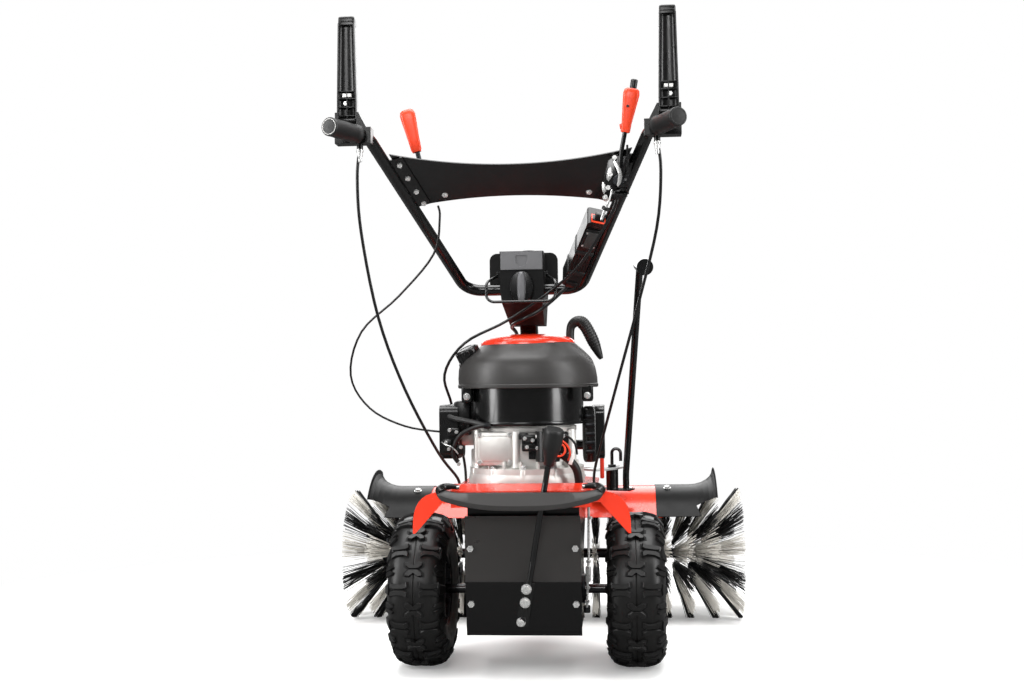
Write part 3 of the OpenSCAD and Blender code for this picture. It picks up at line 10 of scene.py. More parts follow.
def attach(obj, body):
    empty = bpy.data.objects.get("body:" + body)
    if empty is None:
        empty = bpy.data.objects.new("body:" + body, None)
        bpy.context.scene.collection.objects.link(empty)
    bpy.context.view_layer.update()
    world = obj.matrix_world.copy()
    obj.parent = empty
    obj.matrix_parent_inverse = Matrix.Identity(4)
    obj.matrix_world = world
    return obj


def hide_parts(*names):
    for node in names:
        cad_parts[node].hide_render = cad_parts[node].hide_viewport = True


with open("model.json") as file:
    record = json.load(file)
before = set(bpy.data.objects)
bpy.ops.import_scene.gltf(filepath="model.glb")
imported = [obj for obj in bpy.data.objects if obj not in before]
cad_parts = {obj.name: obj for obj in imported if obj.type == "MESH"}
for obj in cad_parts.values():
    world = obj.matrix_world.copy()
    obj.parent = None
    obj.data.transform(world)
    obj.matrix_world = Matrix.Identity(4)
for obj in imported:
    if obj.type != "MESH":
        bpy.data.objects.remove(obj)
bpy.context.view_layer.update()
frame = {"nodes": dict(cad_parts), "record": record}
nodes = frame["nodes"]
scene = bpy.context.scene
scene.view_settings.view_transform = "Standard"
axleY = -100.455  # millimetres from the frame's origin to the axle
xAxis, yAxis, zAxis, rearward = (1, 0, 0), (0, 1, 0), (0, 0, 1), (0, -1, 0)


def at(x, y, z):  # millimetres measured from the axle's line on the floor, to frame metres
    return Vector((x, y + axleY, z)) / 1000


# camera, fitted to the photograph
viewpoint = {
    "place": (207.6, -2812.7, 622.1), "yaw": 4.847, "pitch": 1.57, "roll": -0.762, "focalPixels": 1298.3, "sensor": 36,
    "image": (1024, 683),
}


def setCamera(s):
    yaw, pitch, roll = (math.radians(s[k]) for k in ("yaw", "pitch", "roll"))
    right = Vector((math.cos(yaw), math.sin(yaw), 0))
    level = Vector((-math.sin(yaw), math.cos(yaw), 0))
    ahead = level * math.cos(pitch) + Vector((0, 0, math.sin(pitch)))
    above = Vector((0, 0, math.cos(pitch))) - level * math.sin(pitch)
    side = right * math.cos(roll) + above * math.sin(roll)
    top = above * math.cos(roll) - right * math.sin(roll)
    camera = bpy.data.objects.new("camera", bpy.data.cameras.new("camera"))
    turn = Matrix((side, top, -ahead)).transposed().to_4x4()
    camera.matrix_world = Matrix.Translation(at(*s["place"])) @ turn
    camera.data.sensor_width = s["sensor"]
    camera.data.lens = s["focalPixels"] * s["sensor"] / s["image"][0]
    camera.data.clip_end = 50
    scene.collection.objects.link(camera)
    scene.camera = camera


setCamera(viewpoint)
print("camera set")


def toLinear(hexColour):
    parts = [int(hexColour[i:i + 2], 16) / 255 for i in (1, 3, 5)]
    return tuple(c / 12.92 if c <= 0.04045 else ((c + 0.055) / 1.055) ** 2.4 for c in parts) + (1,)


def freshTree(holder):  # an empty node tree for a material or the world
    holder.use_nodes = True
    holder.node_tree.nodes.clear()
    return holder.node_tree


# a kind without the word Node is a shader node; a link from a node takes its first output
def addNode(tree, kind, settings=None, links=None):
    node = tree.nodes.new(kind if "Node" in kind else "ShaderNode" + kind)
    for key, value in (settings or {}).items():
        if isinstance(key, int) or key in node.inputs:
            node.inputs[key].default_value = value
        else:
            setattr(node, key, value)
    for key, source in (links or {}).items():
        tree.links.new(source.outputs[0] if hasattr(source, "outputs") else source, node.inputs[key])
    return node


# every finish: a colour that drifts a little, a roughness that drifts, a grain, and edges rounded to the eye;
# sizes, depths and edges are in millimetres
def makeFinish(name, colour, drift, driftSize, rough, roughSize, grainSize, grainDepth, metallic=0, coat=0, ior=1.5,
        edge=1.2):
    finish = bpy.data.materials.new(name)
    tree = freshTree(finish)
    place = addNode(tree, "TexCoord").outputs["Object"]

    def noise(size, detail, roughness):
        settings = {"Scale": 1000 / size, "Detail": detail, "Roughness": roughness}
        return addNode(tree, "TexNoise", settings, {"Vector": place}).outputs["Fac"]

    tint = addNode(tree, "Mix", {"data_type": "RGBA", 6: toLinear(colour), 7: toLinear(drift)},
        {0: noise(driftSize, 4, 0.6)})
    dull = addNode(tree, "MapRange", {"From Min": 0.3, "From Max": 0.7, "To Min": rough[0], "To Max": rough[1]},
        {"Value": noise(roughSize, 5, 0.65)})
    relief = {"Height": noise(grainSize, 3, 0.5)}
    if edge:
        relief["Normal"] = addNode(tree, "Bevel", {"samples": 4, "Radius": edge / 1000}).outputs["Normal"]
    bump = addNode(tree, "Bump", {"Strength": 0.6, "Distance": grainDepth / 1000}, relief)
    looks = {"Metallic": metallic, "IOR": ior, "Coat Weight": coat, "Coat Roughness": 0.1}
    shader = addNode(tree, "BsdfPrincipled", looks, {
        "Base Color": tint.outputs[2], "Roughness": dull.outputs["Result"], "Normal": bump.outputs["Normal"]})
    addNode(tree, "OutputMaterial", None, {"Surface": shader.outputs["BSDF"]})
    return finish


# powder coat: glossy film over a faint orange peel about 3 mm across
redPaint = makeFinish("powder coat red", "#dc2f16", "#e4381c", 90, (0.2, 0.3), 40, 3, 0.015, coat=0.3)
blackPaint = makeFinish("powder coat black", "#060606", "#0a0a0a", 90, (0.16, 0.26), 60, 3, 0.008, coat=0.2)
# moulded plastics: fine spark-eroded grain, satin sheen
charcoal = makeFinish("moulded ABS charcoal", "#2a2928", "#302e2d", 80, (0.38, 0.48), 30, 1.5, 0.04)
blackPlastic = makeFinish("moulded polypropylene black", "#070707", "#0b0b0b", 60, (0.24, 0.34), 25, 1.5, 0.006)
greyPlastic = makeFinish("moulded ABS grey", "#58585a", "#646466", 40, (0.3, 0.4), 20, 1.5, 0.03)
redPlastic = makeFinish("moulded nylon red", "#e23a19", "#ec4622", 40, (0.28, 0.38), 20, 1.5, 0.03)
# sand-cast aluminium: pebbled skin, dull silver
alloy = makeFinish("sand cast aluminium", "#cfcdc9", "#e4e2de", 30, (0.36, 0.52), 12, 2.2, 0.12, metallic=0.55, edge=2)
# zinc plate: bright silver, nearly smooth
zinc = makeFinish("zinc plated steel", "#d6d7d7", "#dfdedb", 25, (0.24, 0.32), 12, 2, 0.002, metallic=0.75, edge=0)
# oiled machined steel: dark, with a soft metal glint
darkSteel = makeFinish("oiled machined steel", "#2c2d2f", "#3a3b3d", 40, (0.28, 0.42), 15, 1.5, 0.03, metallic=1)
# moulded rubber: near black and dull, with a fine grain
rubber = makeFinish("moulded rubber black", "#0c0c0c", "#131313", 40, (0.42, 0.56), 15, 1.2, 0.05)
# tyre rubber: near black, a little shine on the tops of the lugs
tyreRubber = makeFinish("tyre rubber", "#090909", "#121110", 50, (0.34, 0.48), 18, 2.5, 0.06, edge=0, ior=1.45)
# nylon bristle: off-white strands that differ a little from one another
bristleWhite = makeFinish("nylon bristle white", "#c9c5bd", "#e2dfd8", 12, (0.35, 0.5), 6, 1, 0.02, edge=0)
# vinyl sheath: black with a soft gloss
sheathVinyl = makeFinish("vinyl cable sheath", "#080808", "#0d0d0d", 30, (0.26, 0.38), 12, 1.5, 0.02, edge=0)
finishes = {
    "red_paint": redPaint, "black_paint": blackPaint, "satin_shroud": charcoal, "black_plastic": blackPlastic,
    "grey_plastic": greyPlastic, "red_plastic": redPlastic, "cast_alloy": alloy, "zinc_steel": zinc,
    "dark_steel": darkSteel, "rubber": rubber, "tyre_rubber": tyreRubber, "bristle": bristleWhite,
    "cable_sheath": sheathVinyl}
slotOf = {part["node"]: part["material_slot"] for part in frame["record"]["subparts"]}
for name, piece in nodes.items():
    piece.data.materials.clear()
    piece.data.materials.append(finishes[slotOf[name]])
ownFinishes = {
    # satin powder coat: softer than the glossy coat, its black lifted to a browner grey as a painted sheen for the
    # upper face; the lower fold is painted dark again as shade
    "guard_plate": makeFinish("powder coat black, painted sheen", "#262423", "#2d2b2a", 90, (0.26, 0.36), 60, 3, 0.008),
    # blow-moulded polyethylene: the deepest black, with a dull waxy shine
    "side_covers": makeFinish("blow moulded polyethylene", "#050505", "#080808", 70, (0.32, 0.42), 30, 1.8, 0.02,
        ior=1.24),
    # moulded polyamide: dull black
    "column_head": makeFinish("moulded polyamide black", "#080808", "#0d0d0d", 50, (0.5, 0.62), 25, 1.5, 0.04, ior=1.3),
    # galvanised sheet: an even, pale grey metal
    "lock_sector": makeFinish("galvanised steel sheet", "#a9abab", "#babbba", 60, (0.42, 0.5), 40, 12, 0.001,
        metallic=0.4, edge=0),
    # painted rim: dark grey with a metallic glint
    "wheel_rims": makeFinish("pressed steel rim, dark grey paint", "#48484a", "#525254", 80, (0.24, 0.34), 30, 2, 0.01,
        metallic=0.7),
}
for name, finish in ownFinishes.items():
    nodes[name].data.materials[0] = finish


# painted shade: the lower fold of a bent sheet leans away and mirrors the dark floor side, so below the fold its colour
# is painted darker and its surface made glossier
def paintShadeBelowFold(finish, name, share, colour, rough):
    blur = 0.001  # metres either side of the fold
    heights = [point.co.z for point in nodes[name].data.vertices]
    fold = max(heights) + (min(heights) - max(heights)) * share
    tree = finish.node_tree
    shader = next(node for node in tree.nodes if node.type == "BSDF_PRINCIPLED")
    place = addNode(tree, "TexCoord").outputs["Object"]
    height = addNode(tree, "SeparateXYZ", None, {"Vector": place}).outputs["Z"]
    lower = addNode(tree, "MapRange", {"From Min": fold + blur, "From Max": fold - blur},
        {"Value": height}).outputs["Result"]
    tint = shader.inputs["Base Color"].links[0].from_socket
    dull = shader.inputs["Roughness"].links[0].from_socket
    # the painted shade: near black mixed in below the fold
    paintedShadeTint = addNode(tree, "Mix", {"data_type": "RGBA", 7: toLinear(colour)}, {0: lower, 6: tint})
    glossier = addNode(tree, "Mix", {"data_type": "FLOAT", 3: rough}, {0: lower, 2: dull})
    tree.links.new(paintedShadeTint.outputs[2], shader.inputs["Base Color"])
    tree.links.new(glossier.outputs[0], shader.inputs["Roughness"])


# painted shade on the guard plate's lower fold
paintShadeBelowFold(ownFinishes["guard_plate"], "guard_plate", 0.545, "#020202", 0.16)
print("finishes made")

# control cables: the same points as the solids, joined by a smooth curve
cables = {
    "left_clutch_cable": {"width": 6, "lay": "hanging", "route": [
        (-278, -415, 1055), (-284, -412, 1000), (-283, -385, 900), (-262, -330, 740),
        (-225, -250, 600), (-175, -150, 470), (-140, -106, 412), (-138, -104, 389)]},
    "right_clutch_cable": {"width": 6, "lay": "hanging", "route": [
        (278, -415, 1055), (284, -405, 1000), (276, -360, 900), (240, -270, 760),
        (200, -170, 620), (166, -90, 500), (146, -60, 425), (144, -58, 389)]},
    "throttle_cable": {"width": 4.5, "lay": "loose", "route": [
        (-152, -266, 964), (-150, -258, 940), (-166, -240, 870), (-244, -200, 790),
        (-330, -160, 720), (-362, -120, 630), (-330, -80, 560), (-260, -50, 520), (-181, -36, 506)]},
    "brake_cable": {"width": 6, "lay": "loose", "route": [
        (198, -347, 968), (196, -316, 943), (130, -215, 850), (62, -130, 800), (-30, -118, 740),
        (-120, -122, 694), (-174, -40, 630), (-172, 60, 560), (-150, 86, 440), (-146, 88, 389)]},
    "wiring_harness": {"width": 8, "lay": "loose", "route": [
        (102, -95, 828), (92, -99, 808), (40, -114, 762), (0, -106, 742), (-27, -40, 731),
        (-28, 100, 718), (-28, 150, 668), (-34, 176, 600), (-40, 174, 550), (-40, 173, 519)]},
}


def glide(points, steps):  # a Catmull-Rom curve through the points
    points = [Vector(p) for p in points]
    found = []
    for i in range(len(points) - 1):
        a, b, c, d = points[max(i - 1, 0)], points[i], points[i + 1], points[min(i + 2, len(points) - 1)]
        for k in range(steps):
            t = k / steps
            found.append(0.5 * (2 * b + (c - a) * t + (2 * a - 5 * b + 4 * c - d) * t * t
                + (3 * b - a - 3 * c + d) * t ** 3))
    return found + [points[-1]]


for name, cable in cables.items():
    line = [at(*p) for p in glide(cable["route"], 5)]
    curve = bpy.data.curves.new(name + "Sheath", "CURVE")
    curve.dimensions = "3D"
    curve.bevel_depth = cable["width"] / 2000
    curve.bevel_resolution = 3
    spline = curve.splines.new("POLY")
    spline.points.add(len(line) - 1)
    for point, place in zip(spline.points, line):
        point.co = (*place, 1)
    sheath = bpy.data.objects.new(name + "Sheath", curve)
    scene.collection.objects.link(sheath)
    curve.materials.append(sheathVinyl)
    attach(sheath, "chassis")
    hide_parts(name)
print("cables laid")


# helpers for new pieces; smooth is the angle in degrees above which an edge stays sharp
def addPiece(name, mesh, body, slot, *stands, smooth=40):
    piece = bpy.data.objects.new(name, mesh)
    scene.collection.objects.link(piece)
    mesh.shade_smooth()
    if smooth < 180:
        mesh.set_sharp_from_angle(angle=math.radians(smooth))
    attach(piece, body)
    if stands:
        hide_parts(*stands)


def meshFrom(name, bm):
    bmesh.ops.recalc_face_normals(bm, faces=bm.faces)
    mesh = bpy.data.meshes.new(name)
    bm.to_mesh(mesh)
    bm.free()
    return mesh


def skin(bm, rings, capEnds=True):  # quads between rings of points
    rows = [[bm.verts.new(p) for p in ring] for ring in rings]
    count = len(rows[0])
    for a, b in zip(rows, rows[1:]):
        for i in range(count):
            bm.faces.new((a[i], a[(i + 1) % count], b[(i + 1) % count], b[i]))
    if capEnds:
        bm.faces.new(rows[0])
        bm.faces.new(rows[-1])
    return rows


def newTree(name, sockets):  # a geometry tree with named inputs
    tree = bpy.data.node_groups.new(name, "GeometryNodeTree")
    for label, kind in sockets:
        tree.interface.new_socket(label, in_out="INPUT", socket_type="NodeSocket" + kind)
    tree.interface.new_socket("Geometry", in_out="OUTPUT", socket_type="NodeSocketGeometry")
    return tree, addNode(tree, "NodeGroupInput").outputs


def grow(tree, name, mesh, values):  # runs a geometry tree on a mesh and keeps the result as one mesh
    seed = bpy.data.objects.new(name + "Seed", mesh)
    scene.collection.objects.link(seed)
    modifier = seed.modifiers.new("grow", "NODES")
    modifier.node_group = tree
    for item in tree.interface.items_tree:
        if item.in_out == "INPUT" and item.name in values:
            modifier[item.identifier] = values[item.name]
    grown = bpy.data.meshes.new_from_object(seed.evaluated_get(bpy.context.evaluated_depsgraph_get()))
    grown.name = name
    bpy.data.objects.remove(seed)
    return grown


# copies turned about the x axis: lugs and ribs
turned, given = newTree("copies turned about an axle", [
    ("Geometry", "Geometry"), ("Count", "Int"), ("Step", "Float"), ("Finish", "Material")])
spots = addNode(turned, "GeometryNodePoints", None, {"Count": given["Count"]})
order = addNode(turned, "GeometryNodeInputIndex")
angle = addNode(turned, "Math", {"operation": "MULTIPLY"}, {0: order, 1: given["Step"]})
spin = addNode(turned, "CombineXYZ", None, {"X": angle})
copies = addNode(turned, "GeometryNodeInstanceOnPoints", None,
    {"Points": spots, "Instance": given["Geometry"], "Rotation": spin})
solid = addNode(turned, "GeometryNodeRealizeInstances", None, {"Geometry": copies})
painted = addNode(turned, "GeometryNodeSetMaterial", None, {"Geometry": solid, "Material": given["Finish"]})
addNode(turned, "NodeGroupOutput", None, {"Geometry": painted})

# copies stood on points, each along its own direction: bristles and bolts
standFields = {"lean": "FLOAT_VECTOR", "size": "FLOAT_VECTOR", "roll": "FLOAT", "dark": "BOOLEAN"}
stood, given = newTree("copies stood on points", [
    ("Geometry", "Geometry"), ("Shape", "Object"), ("Finish", "Material"), ("Second Finish", "Material")])
lean, size, roll, dark = [addNode(stood, "GeometryNodeInputNamedAttribute", {"data_type": kind, "Name": label})
    for label, kind in standFields.items()]
shape = addNode(stood, "GeometryNodeObjectInfo", None, {"Object": given["Shape"]})
facing = addNode(stood, "FunctionNodeAlignRotationToVector", {"axis": "Z"}, {"Vector": lean.outputs["Attribute"]})
spin = addNode(stood, "CombineXYZ", None, {"Z": roll.outputs["Attribute"]})
turn = addNode(stood, "FunctionNodeRotateRotation", {"rotation_space": "LOCAL"},
    {"Rotation": facing, "Rotate By": spin})
copies = addNode(stood, "GeometryNodeInstanceOnPoints", None,
    {"Points": given["Geometry"], "Instance": shape.outputs["Geometry"], "Rotation": turn,
    "Scale": size.outputs["Attribute"]})
solid = addNode(stood, "GeometryNodeRealizeInstances", None, {"Geometry": copies})
first = addNode(stood, "GeometryNodeSetMaterial", None, {"Geometry": solid, "Material": given["Finish"]})
second = addNode(stood, "GeometryNodeSetMaterial", None,
    {"Geometry": first, "Material": given["Second Finish"], "Selection": dark.outputs["Attribute"]})
addNode(stood, "NodeGroupOutput", None, {"Geometry": second})


def standCopies(name, shapeMesh, spots, finish, secondFinish=None):
    # spots: (place, lean, (x, y, z) size, roll, dark) each
    shapeObject = bpy.data.objects.new(name + "Shape", shapeMesh)
    mesh = bpy.data.meshes.new(name + "Spots")
    mesh.from_pydata([s[0] for s in spots], [], [])
    for i, (label, kind) in enumerate(standFields.items(), 1):
        isVector = kind == "FLOAT_VECTOR"
        values = [c for s in spots for c in s[i]] if isVector else [s[i] for s in spots]
        mesh.attributes.new(label, kind, "POINT").data.foreach_set("vector" if isVector else "value", values)
    grown = grow(stood, name, mesh, {"Shape": shapeObject, "Finish": finish, "Second Finish": secondFinish or finish})
    for label in standFields:
        if label in grown.attributes:
            grown.attributes.remove(grown.attributes[label])
    bpy.data.objects.remove(shapeObject)
    return grown


# tyres: a turned carcass with a ring of lugs
tyre = {
    "centre": 229, "axleZ": 165, "tread": 157.4, "lug": 7.4, "pitches": 12, "startTurn": 0.12, "halfTurn": 60,
    "topFacing": 0.5, "topLift": 2.5,
    "profile": [(0, 157.4), (18, 157), (33, 154.8), (45, 149.5), (53, 141), (58.5, 128), (60.5, 113), (58, 98),
        (52.5, 87), (50.5, 81), (45, 77.2), (38, 76.3)],
    "groove": [(0, -1.6), (1.1, -1.2), (1.6, 0)],
    "bead": [(34, 78.5), (-34, 78.5)],
    "butterfly": [(17, 13.5), (9.5, 14.5), (0, 7.5), (-9.5, 14.5), (-17, 13.5), (-16.5, 7), (-8.5, 0.9), (8.5, 0.9),
        (16.5, 7)],
    "bone": [(46, 14), (37, 11), (22, 11), (14, 15), (13, 5), (19, 1.8), (38, 1.4), (45, 4.5)],
    "knob": [(55, 12), (44, 11), (41, 5), (47, 0.8), (56, 0.8)],
    "cleat": [(59, 9), (50.5, 12), (49.5, 0), (50.5, -12), (59, -9)],
}
# lug walls: the dull skin that the mould leaves, with a colour painted darker than the tops as shade; the low skirt
# round each lug's foot takes it as a painted shadow
paintedLugShade = makeFinish("tyre rubber, painted shade on lug walls", "#020202", "#050505", 30, (0.7, 0.85), 12, 2, 0.05, edge=0)


def tyreRadius(s, across):
    across = abs(across)
    for (x0, r0), (x1, r1) in zip(s["profile"], s["profile"][1:]):
        if across <= x1:
            return r0 + (r1 - r0) * (across - x0) / (x1 - x0)
    return s["profile"][-1][1]


def tyreNormal(s, across):
    slope = (tyreRadius(s, across + 2) - tyreRadius(s, across - 2)) / 4
    return Vector((-slope, 1)).normalized()


def lugOn(s, bm, outline, height):
    # outline: (across, along) in millimetres on the tread, drawn in a little at the top
    midX = sum(p[0] for p in outline) / len(outline)
    midS = sum(p[1] for p in outline) / len(outline)
    rings = []
    # the first two levels lay a skirt just above the carcass, wider than the lug's foot, which takes the dark wall
    # finish as a painted shadow
    for level, draw in ((-1, 1.36), (0.35, 1.34), (0.5, 1.1), (height - 1, 1), (height, 0.92)):
        ring = []
        for across, along in outline:
            normal = tyreNormal(s, across)
            side = midX + (across - midX) * draw + level * normal.x
            radius = tyreRadius(s, across) + level * normal.y
            turn = (midS + (along - midS) * draw) / s["tread"]
            ring.append(Vector((side, radius * math.sin(turn), radius * math.cos(turn))) / 1000)
        rings.append(ring)
    bm.faces.new(skin(bm, rings, capEnds=False)[-1])


def makeTyres(s):
    pitch = 2 * math.pi * s["tread"] / s["pitches"]
    bm = bmesh.new()
    for up in (1, -1):
        lugOn(s, bm, [(x, up * y) for x, y in s["butterfly"]][::up], s["lug"])
        for side in (1, -1):
            lugOn(s, bm, [(side * x, up * y + pitch / 2) for x, y in s["bone"]][::side * up], s["lug"] - 0.4)
            lugOn(s, bm, [(side * x, up * y) for x, y in s["knob"]][::side * up], s["lug"] - 1)
    for side in (1, -1):
        lugOn(s, bm, [(side * x, y + pitch / 2) for x, y in s["cleat"]][::side], s["lug"] - 2)
    lugs = grow(turned, "tyreLugs", meshFrom("lugPitch", bm),
        {"Count": s["pitches"], "Step": 2 * math.pi / s["pitches"], "Finish": tyreRubber})
    bm = bmesh.new()
    bm.from_mesh(lugs)
    bmesh.ops.recalc_face_normals(bm, faces=bm.faces)
    # the walls and the low skirts take the second, darker finish as painted shade
    for face in bm.faces:  # the tops keep the first finish, the walls take the second
        middle = face.calc_center_median()
        outward = tyreNormal(s, middle.x * 1000)
        radial = Vector((0, middle.y, middle.z)).normalized() * outward.y + Vector((outward.x, 0, 0))
        lift = math.hypot(middle.y, middle.z) * 1000 - tyreRadius(s, middle.x * 1000)
        isTop = face.normal.dot(radial) > s["topFacing"] and lift > s["topLift"]
        face.material_index = 0 if isTop else 1
    crown = s["profile"][0][1]
    curve = glide([(x, r, 0) for x, r in s["profile"][1:]], 3)
    line = [(x, crown + depth) for x, depth in s["groove"]] + [(p.x, p.y) for p in curve]
    line = [(-x, r) for x, r in line[:0:-1]] + line
    turns = [t * math.pi / s["halfTurn"] for t in range(2 * s["halfTurn"])]
    rings = [[Vector((x, r * math.sin(a), r * math.cos(a))) / 1000 for a in turns] for x, r in line + s["bead"]]
    skin(bm, rings + [rings[0]], capEnds=False)
    bmesh.ops.remove_doubles(bm, verts=bm.verts, dist=1e-6)
    one = meshFrom("oneTyre", bm)
    bm = bmesh.new()
    for side in (1, -1):
        part = one.copy()
        part.transform(Matrix.Translation(at(side * s["centre"], 0, s["axleZ"]))
            @ Matrix.Rotation(s["startTurn"], 4, "X"))
        bm.from_mesh(part)
    treaded = meshFrom("treadedTyres", bm)
    treaded.materials.append(tyreRubber)
    treaded.materials.append(paintedLugShade)
    addPiece("treadedTyres", treaded, "wheels", "tyre_rubber", "tyres", smooth=24)


makeTyres(tyre)
print("tyres made")

# brush: black and white filaments in tufts round the hub
brush = {
    "axis": (563, 165), "hub": 57, "tip": 164.5, "from": 52, "to": 412, "endTip": 499, "rings": 10, "tufts": 12,
    "strands": 62, "strandWidth": 1.8, "seed": 4, "twist": 0.03, "phase": 0.087, "leanFrom": 0.45, "leanPower": 1.5,
    "spread": 9, "scatter": 0.5, "fanOut": 0.35, "fanScatter": 0.012, "rootHalf": 4, "wear": 0.005, "tipOut": 0.8,
    "tipScatter": 1.5,
}
# dyed nylon: near black, as glossy as the white
bristleBlack = makeFinish("nylon bristle black", "#070707", "#0d0d0d", 12, (0.34, 0.5), 6, 1, 0.02, edge=0)


def strandMesh():  # one three-sided strand of unit length, a little crimped
    bm = bmesh.new()
    rings = []
    for level, width, bend in ((0, 1, 0), (0.35, 1, 0.012), (0.7, 0.95, -0.008), (1, 0.7, 0.02)):
        rings.append([(width * math.cos(a) + bend * 60, width * math.sin(a) - bend * 30, level)
            for a in (0, 2.094, 4.189)])
    skin(bm, rings)
    return meshFrom("strand", bm)


def makeBristles(s, side, name):
    chance = random.Random(s["seed"] + side)
    spots = []
    for ring in range(s["rings"]):
        share = ring / (s["rings"] - 1)
        x = s["from"] + (s["to"] - s["from"]) * share
        lean = max(0, (share - s["leanFrom"]) / (1 - s["leanFrom"])) ** s["leanPower"]
        leanOut = (s["endTip"] - s["to"]) * lean
        for tuft in range(s["tufts"]):
            angle = 2 * math.pi * (tuft + ring * s["twist"]) / s["tufts"] + s["phase"]
            dark = tuft % 2 == 0
            for strand in range(s["strands"]):
                turn = angle + chance.gauss(0, s["scatter"]) * s["spread"] / s["hub"]
                fan = turn + (turn - angle) * s["fanOut"] + chance.gauss(0, 1) * s["fanScatter"]
                rootX = x + chance.uniform(-s["rootHalf"], s["rootHalf"])
                tip = s["tip"] * (1 - abs(chance.gauss(0, s["wear"])))
                tipX = rootX + leanOut + (rootX - x) * s["tipOut"] + chance.gauss(0, s["tipScatter"])
                root = Vector((side * rootX, (s["hub"] - 1) * math.sin(turn), (s["hub"] - 1) * math.cos(turn)))
                end = Vector((side * min(tipX, s["endTip"]), tip * math.sin(fan), tip * math.cos(fan)))
                along = end - root
                scale = (s["strandWidth"] / 2000, s["strandWidth"] / 2000, along.length / 1000)
                place = at(0, *s["axis"]) + root / 1000
                spots.append((place, along.normalized(), scale, chance.uniform(0, 6.28), dark))
    mesh = standCopies(name + "Strands", strandMesh(), spots, bristleWhite, bristleBlack)
    addPiece(name + "Strands", mesh, "brush_rotor", "bristle", name, smooth=180)


makeBristles(brush, -1, "left_bristles")
makeBristles(brush, 1, "right_bristles")
print("bristles grown")

# shapes: each returns a small mesh in axle millimetres, which an assembly collects with its finish


class Assembly:
    def __init__(self, name):
        self.name, self.mesh, self.finishes = name, bmesh.new(), []

    def add(self, part, finish, mirror=False):
        for vert in part.verts:
            vert.co = at(-vert.co.x if mirror else vert.co.x, vert.co.y, vert.co.z)
        self.take(part, finish)

    def take(self, part, finish):
        bmesh.ops.recalc_face_normals(part, faces=part.faces)
        if finish not in self.finishes:
            self.finishes.append(finish)
        for face in part.faces:
            face.material_index = self.finishes.index(finish)
        mesh = bpy.data.meshes.new("part")
        part.to_mesh(mesh)
        part.free()
        self.mesh.from_mesh(mesh)
        bpy.data.meshes.remove(mesh)

    def done(self, body, slot, *stands, smooth=40):
        mesh = bpy.data.meshes.new(self.name)
        self.mesh.to_mesh(mesh)
        self.mesh.free()
        for finish in self.finishes:
            mesh.materials.append(finish)
        addPiece(self.name, mesh, body, slot, *stands, smooth=smooth)


def signPower(value, power):
    return math.copysign(abs(value) ** power, value)


def circle(sides):  # cosine and sine at each corner of a regular polygon
    turns = [2 * math.pi * k / sides for k in range(sides)]
    return [(math.cos(a), math.sin(a)) for a in turns]


def loft(sections, u, v, sides=28):
    # sections: (centre, half width along u, half width along v, squareness) each
    part, rings = bmesh.new(), []
    u, v = Vector(u).normalized(), Vector(v).normalized()
    for centre, halfU, halfV, square in sections:
        rings.append([Vector(centre) + u * halfU * signPower(c, 2 / square) + v * halfV * signPower(s, 2 / square)
            for c, s in circle(sides)])
    skin(part, rings)
    return part


def tube(points, radius, sides=12):
    part, rings = bmesh.new(), []
    points = [Vector(p) for p in points]
    radii = radius if isinstance(radius, (list, tuple)) else [radius] * len(points)
    side = None
    for i, point in enumerate(points):
        along = (points[min(i + 1, len(points) - 1)] - points[max(i - 1, 0)]).normalized()
        if side is None:
            side = along.orthogonal().normalized()
        side = (side - along * side.dot(along)).normalized()
        other = along.cross(side)
        rings.append([point + (side * c + other * s) * radii[i] for c, s in circle(sides)])
    skin(part, rings)
    return part


def lathe(profile, base, axis, segments=48, closed=False):
    # profile: (radius, height along the axis) each; points on the axis are joined to one
    pointRadius, joinWithin = 0.01, 0.03
    part, rings = bmesh.new(), []
    axis = Vector(axis).normalized()
    side = axis.orthogonal().normalized()
    other = axis.cross(side)
    for r, h in profile:
        rings.append([Vector(base) + axis * h + (side * c + other * s) * max(r, pointRadius)
            for c, s in circle(segments)])
    skin(part, rings, capEnds=not closed)
    bmesh.ops.remove_doubles(part, verts=part.verts, dist=joinWithin)
    return part


def peg(profile, base, axis, segments=48):  # a lathe with flat ends
    return lathe([(0, profile[0][1]), *profile, (0, profile[-1][1])], base, axis, segments)


def box(centre, size, rounding, turn=None):
    part = bmesh.new()
    bmesh.ops.create_cube(part, size=1)
    bmesh.ops.scale(part, vec=size, verts=part.verts)
    bmesh.ops.bevel(part, geom=part.edges[:], offset=rounding, segments=2, profile=0.5, affect="EDGES")
    if turn:
        bmesh.ops.transform(part, matrix=turn.to_4x4(), verts=part.verts)
    bmesh.ops.translate(part, vec=centre, verts=part.verts)
    return part


def plate(outline, origin, u, v, thick, rounding):
    # outline in the plane of u and v, thickened along their cross product
    part = bmesh.new()
    u, v = Vector(u).normalized(), Vector(v).normalized()
    normal = u.cross(v)
    low = [part.verts.new(Vector(origin) + u * a + v * b) for a, b in outline]
    high = [part.verts.new(Vector(origin) + u * a + v * b + normal * thick) for a, b in outline]
    count = len(outline)
    faces = [part.faces.new(low), part.faces.new(high)]
    for i in range(count):
        part.faces.new((low[i], low[(i + 1) % count], high[(i + 1) % count], high[i]))
    edges = [e for f in faces for e in f.edges]
    bmesh.ops.bevel(part, geom=edges, offset=rounding, segments=2, profile=0.5, affect="EDGES")
    return part


def boltMesh():  # hexagon bolt on a washer, across corners 1, standing along z
    part = bmesh.new()
    washer, head = [(0.66, 0), (0.66, 0.09), (0.6, 0.1)], [(0.5, 0.09), (0.5, 0.36), (0.44, 0.42)]
    for profile, segments in ((washer, 20), (head, 6)):
        rings = [[(r * c, r * s, h) for c, s in circle(segments)] for r, h in profile]
        part.faces.new(skin(part, rings, capEnds=False)[-1])
    return meshFrom("bolt", part)


# handlebar fittings
corner = Vector((264, -400, 1078))
splay = math.radians(22)
tail = Vector((math.sin(splay), -math.cos(splay), 0))
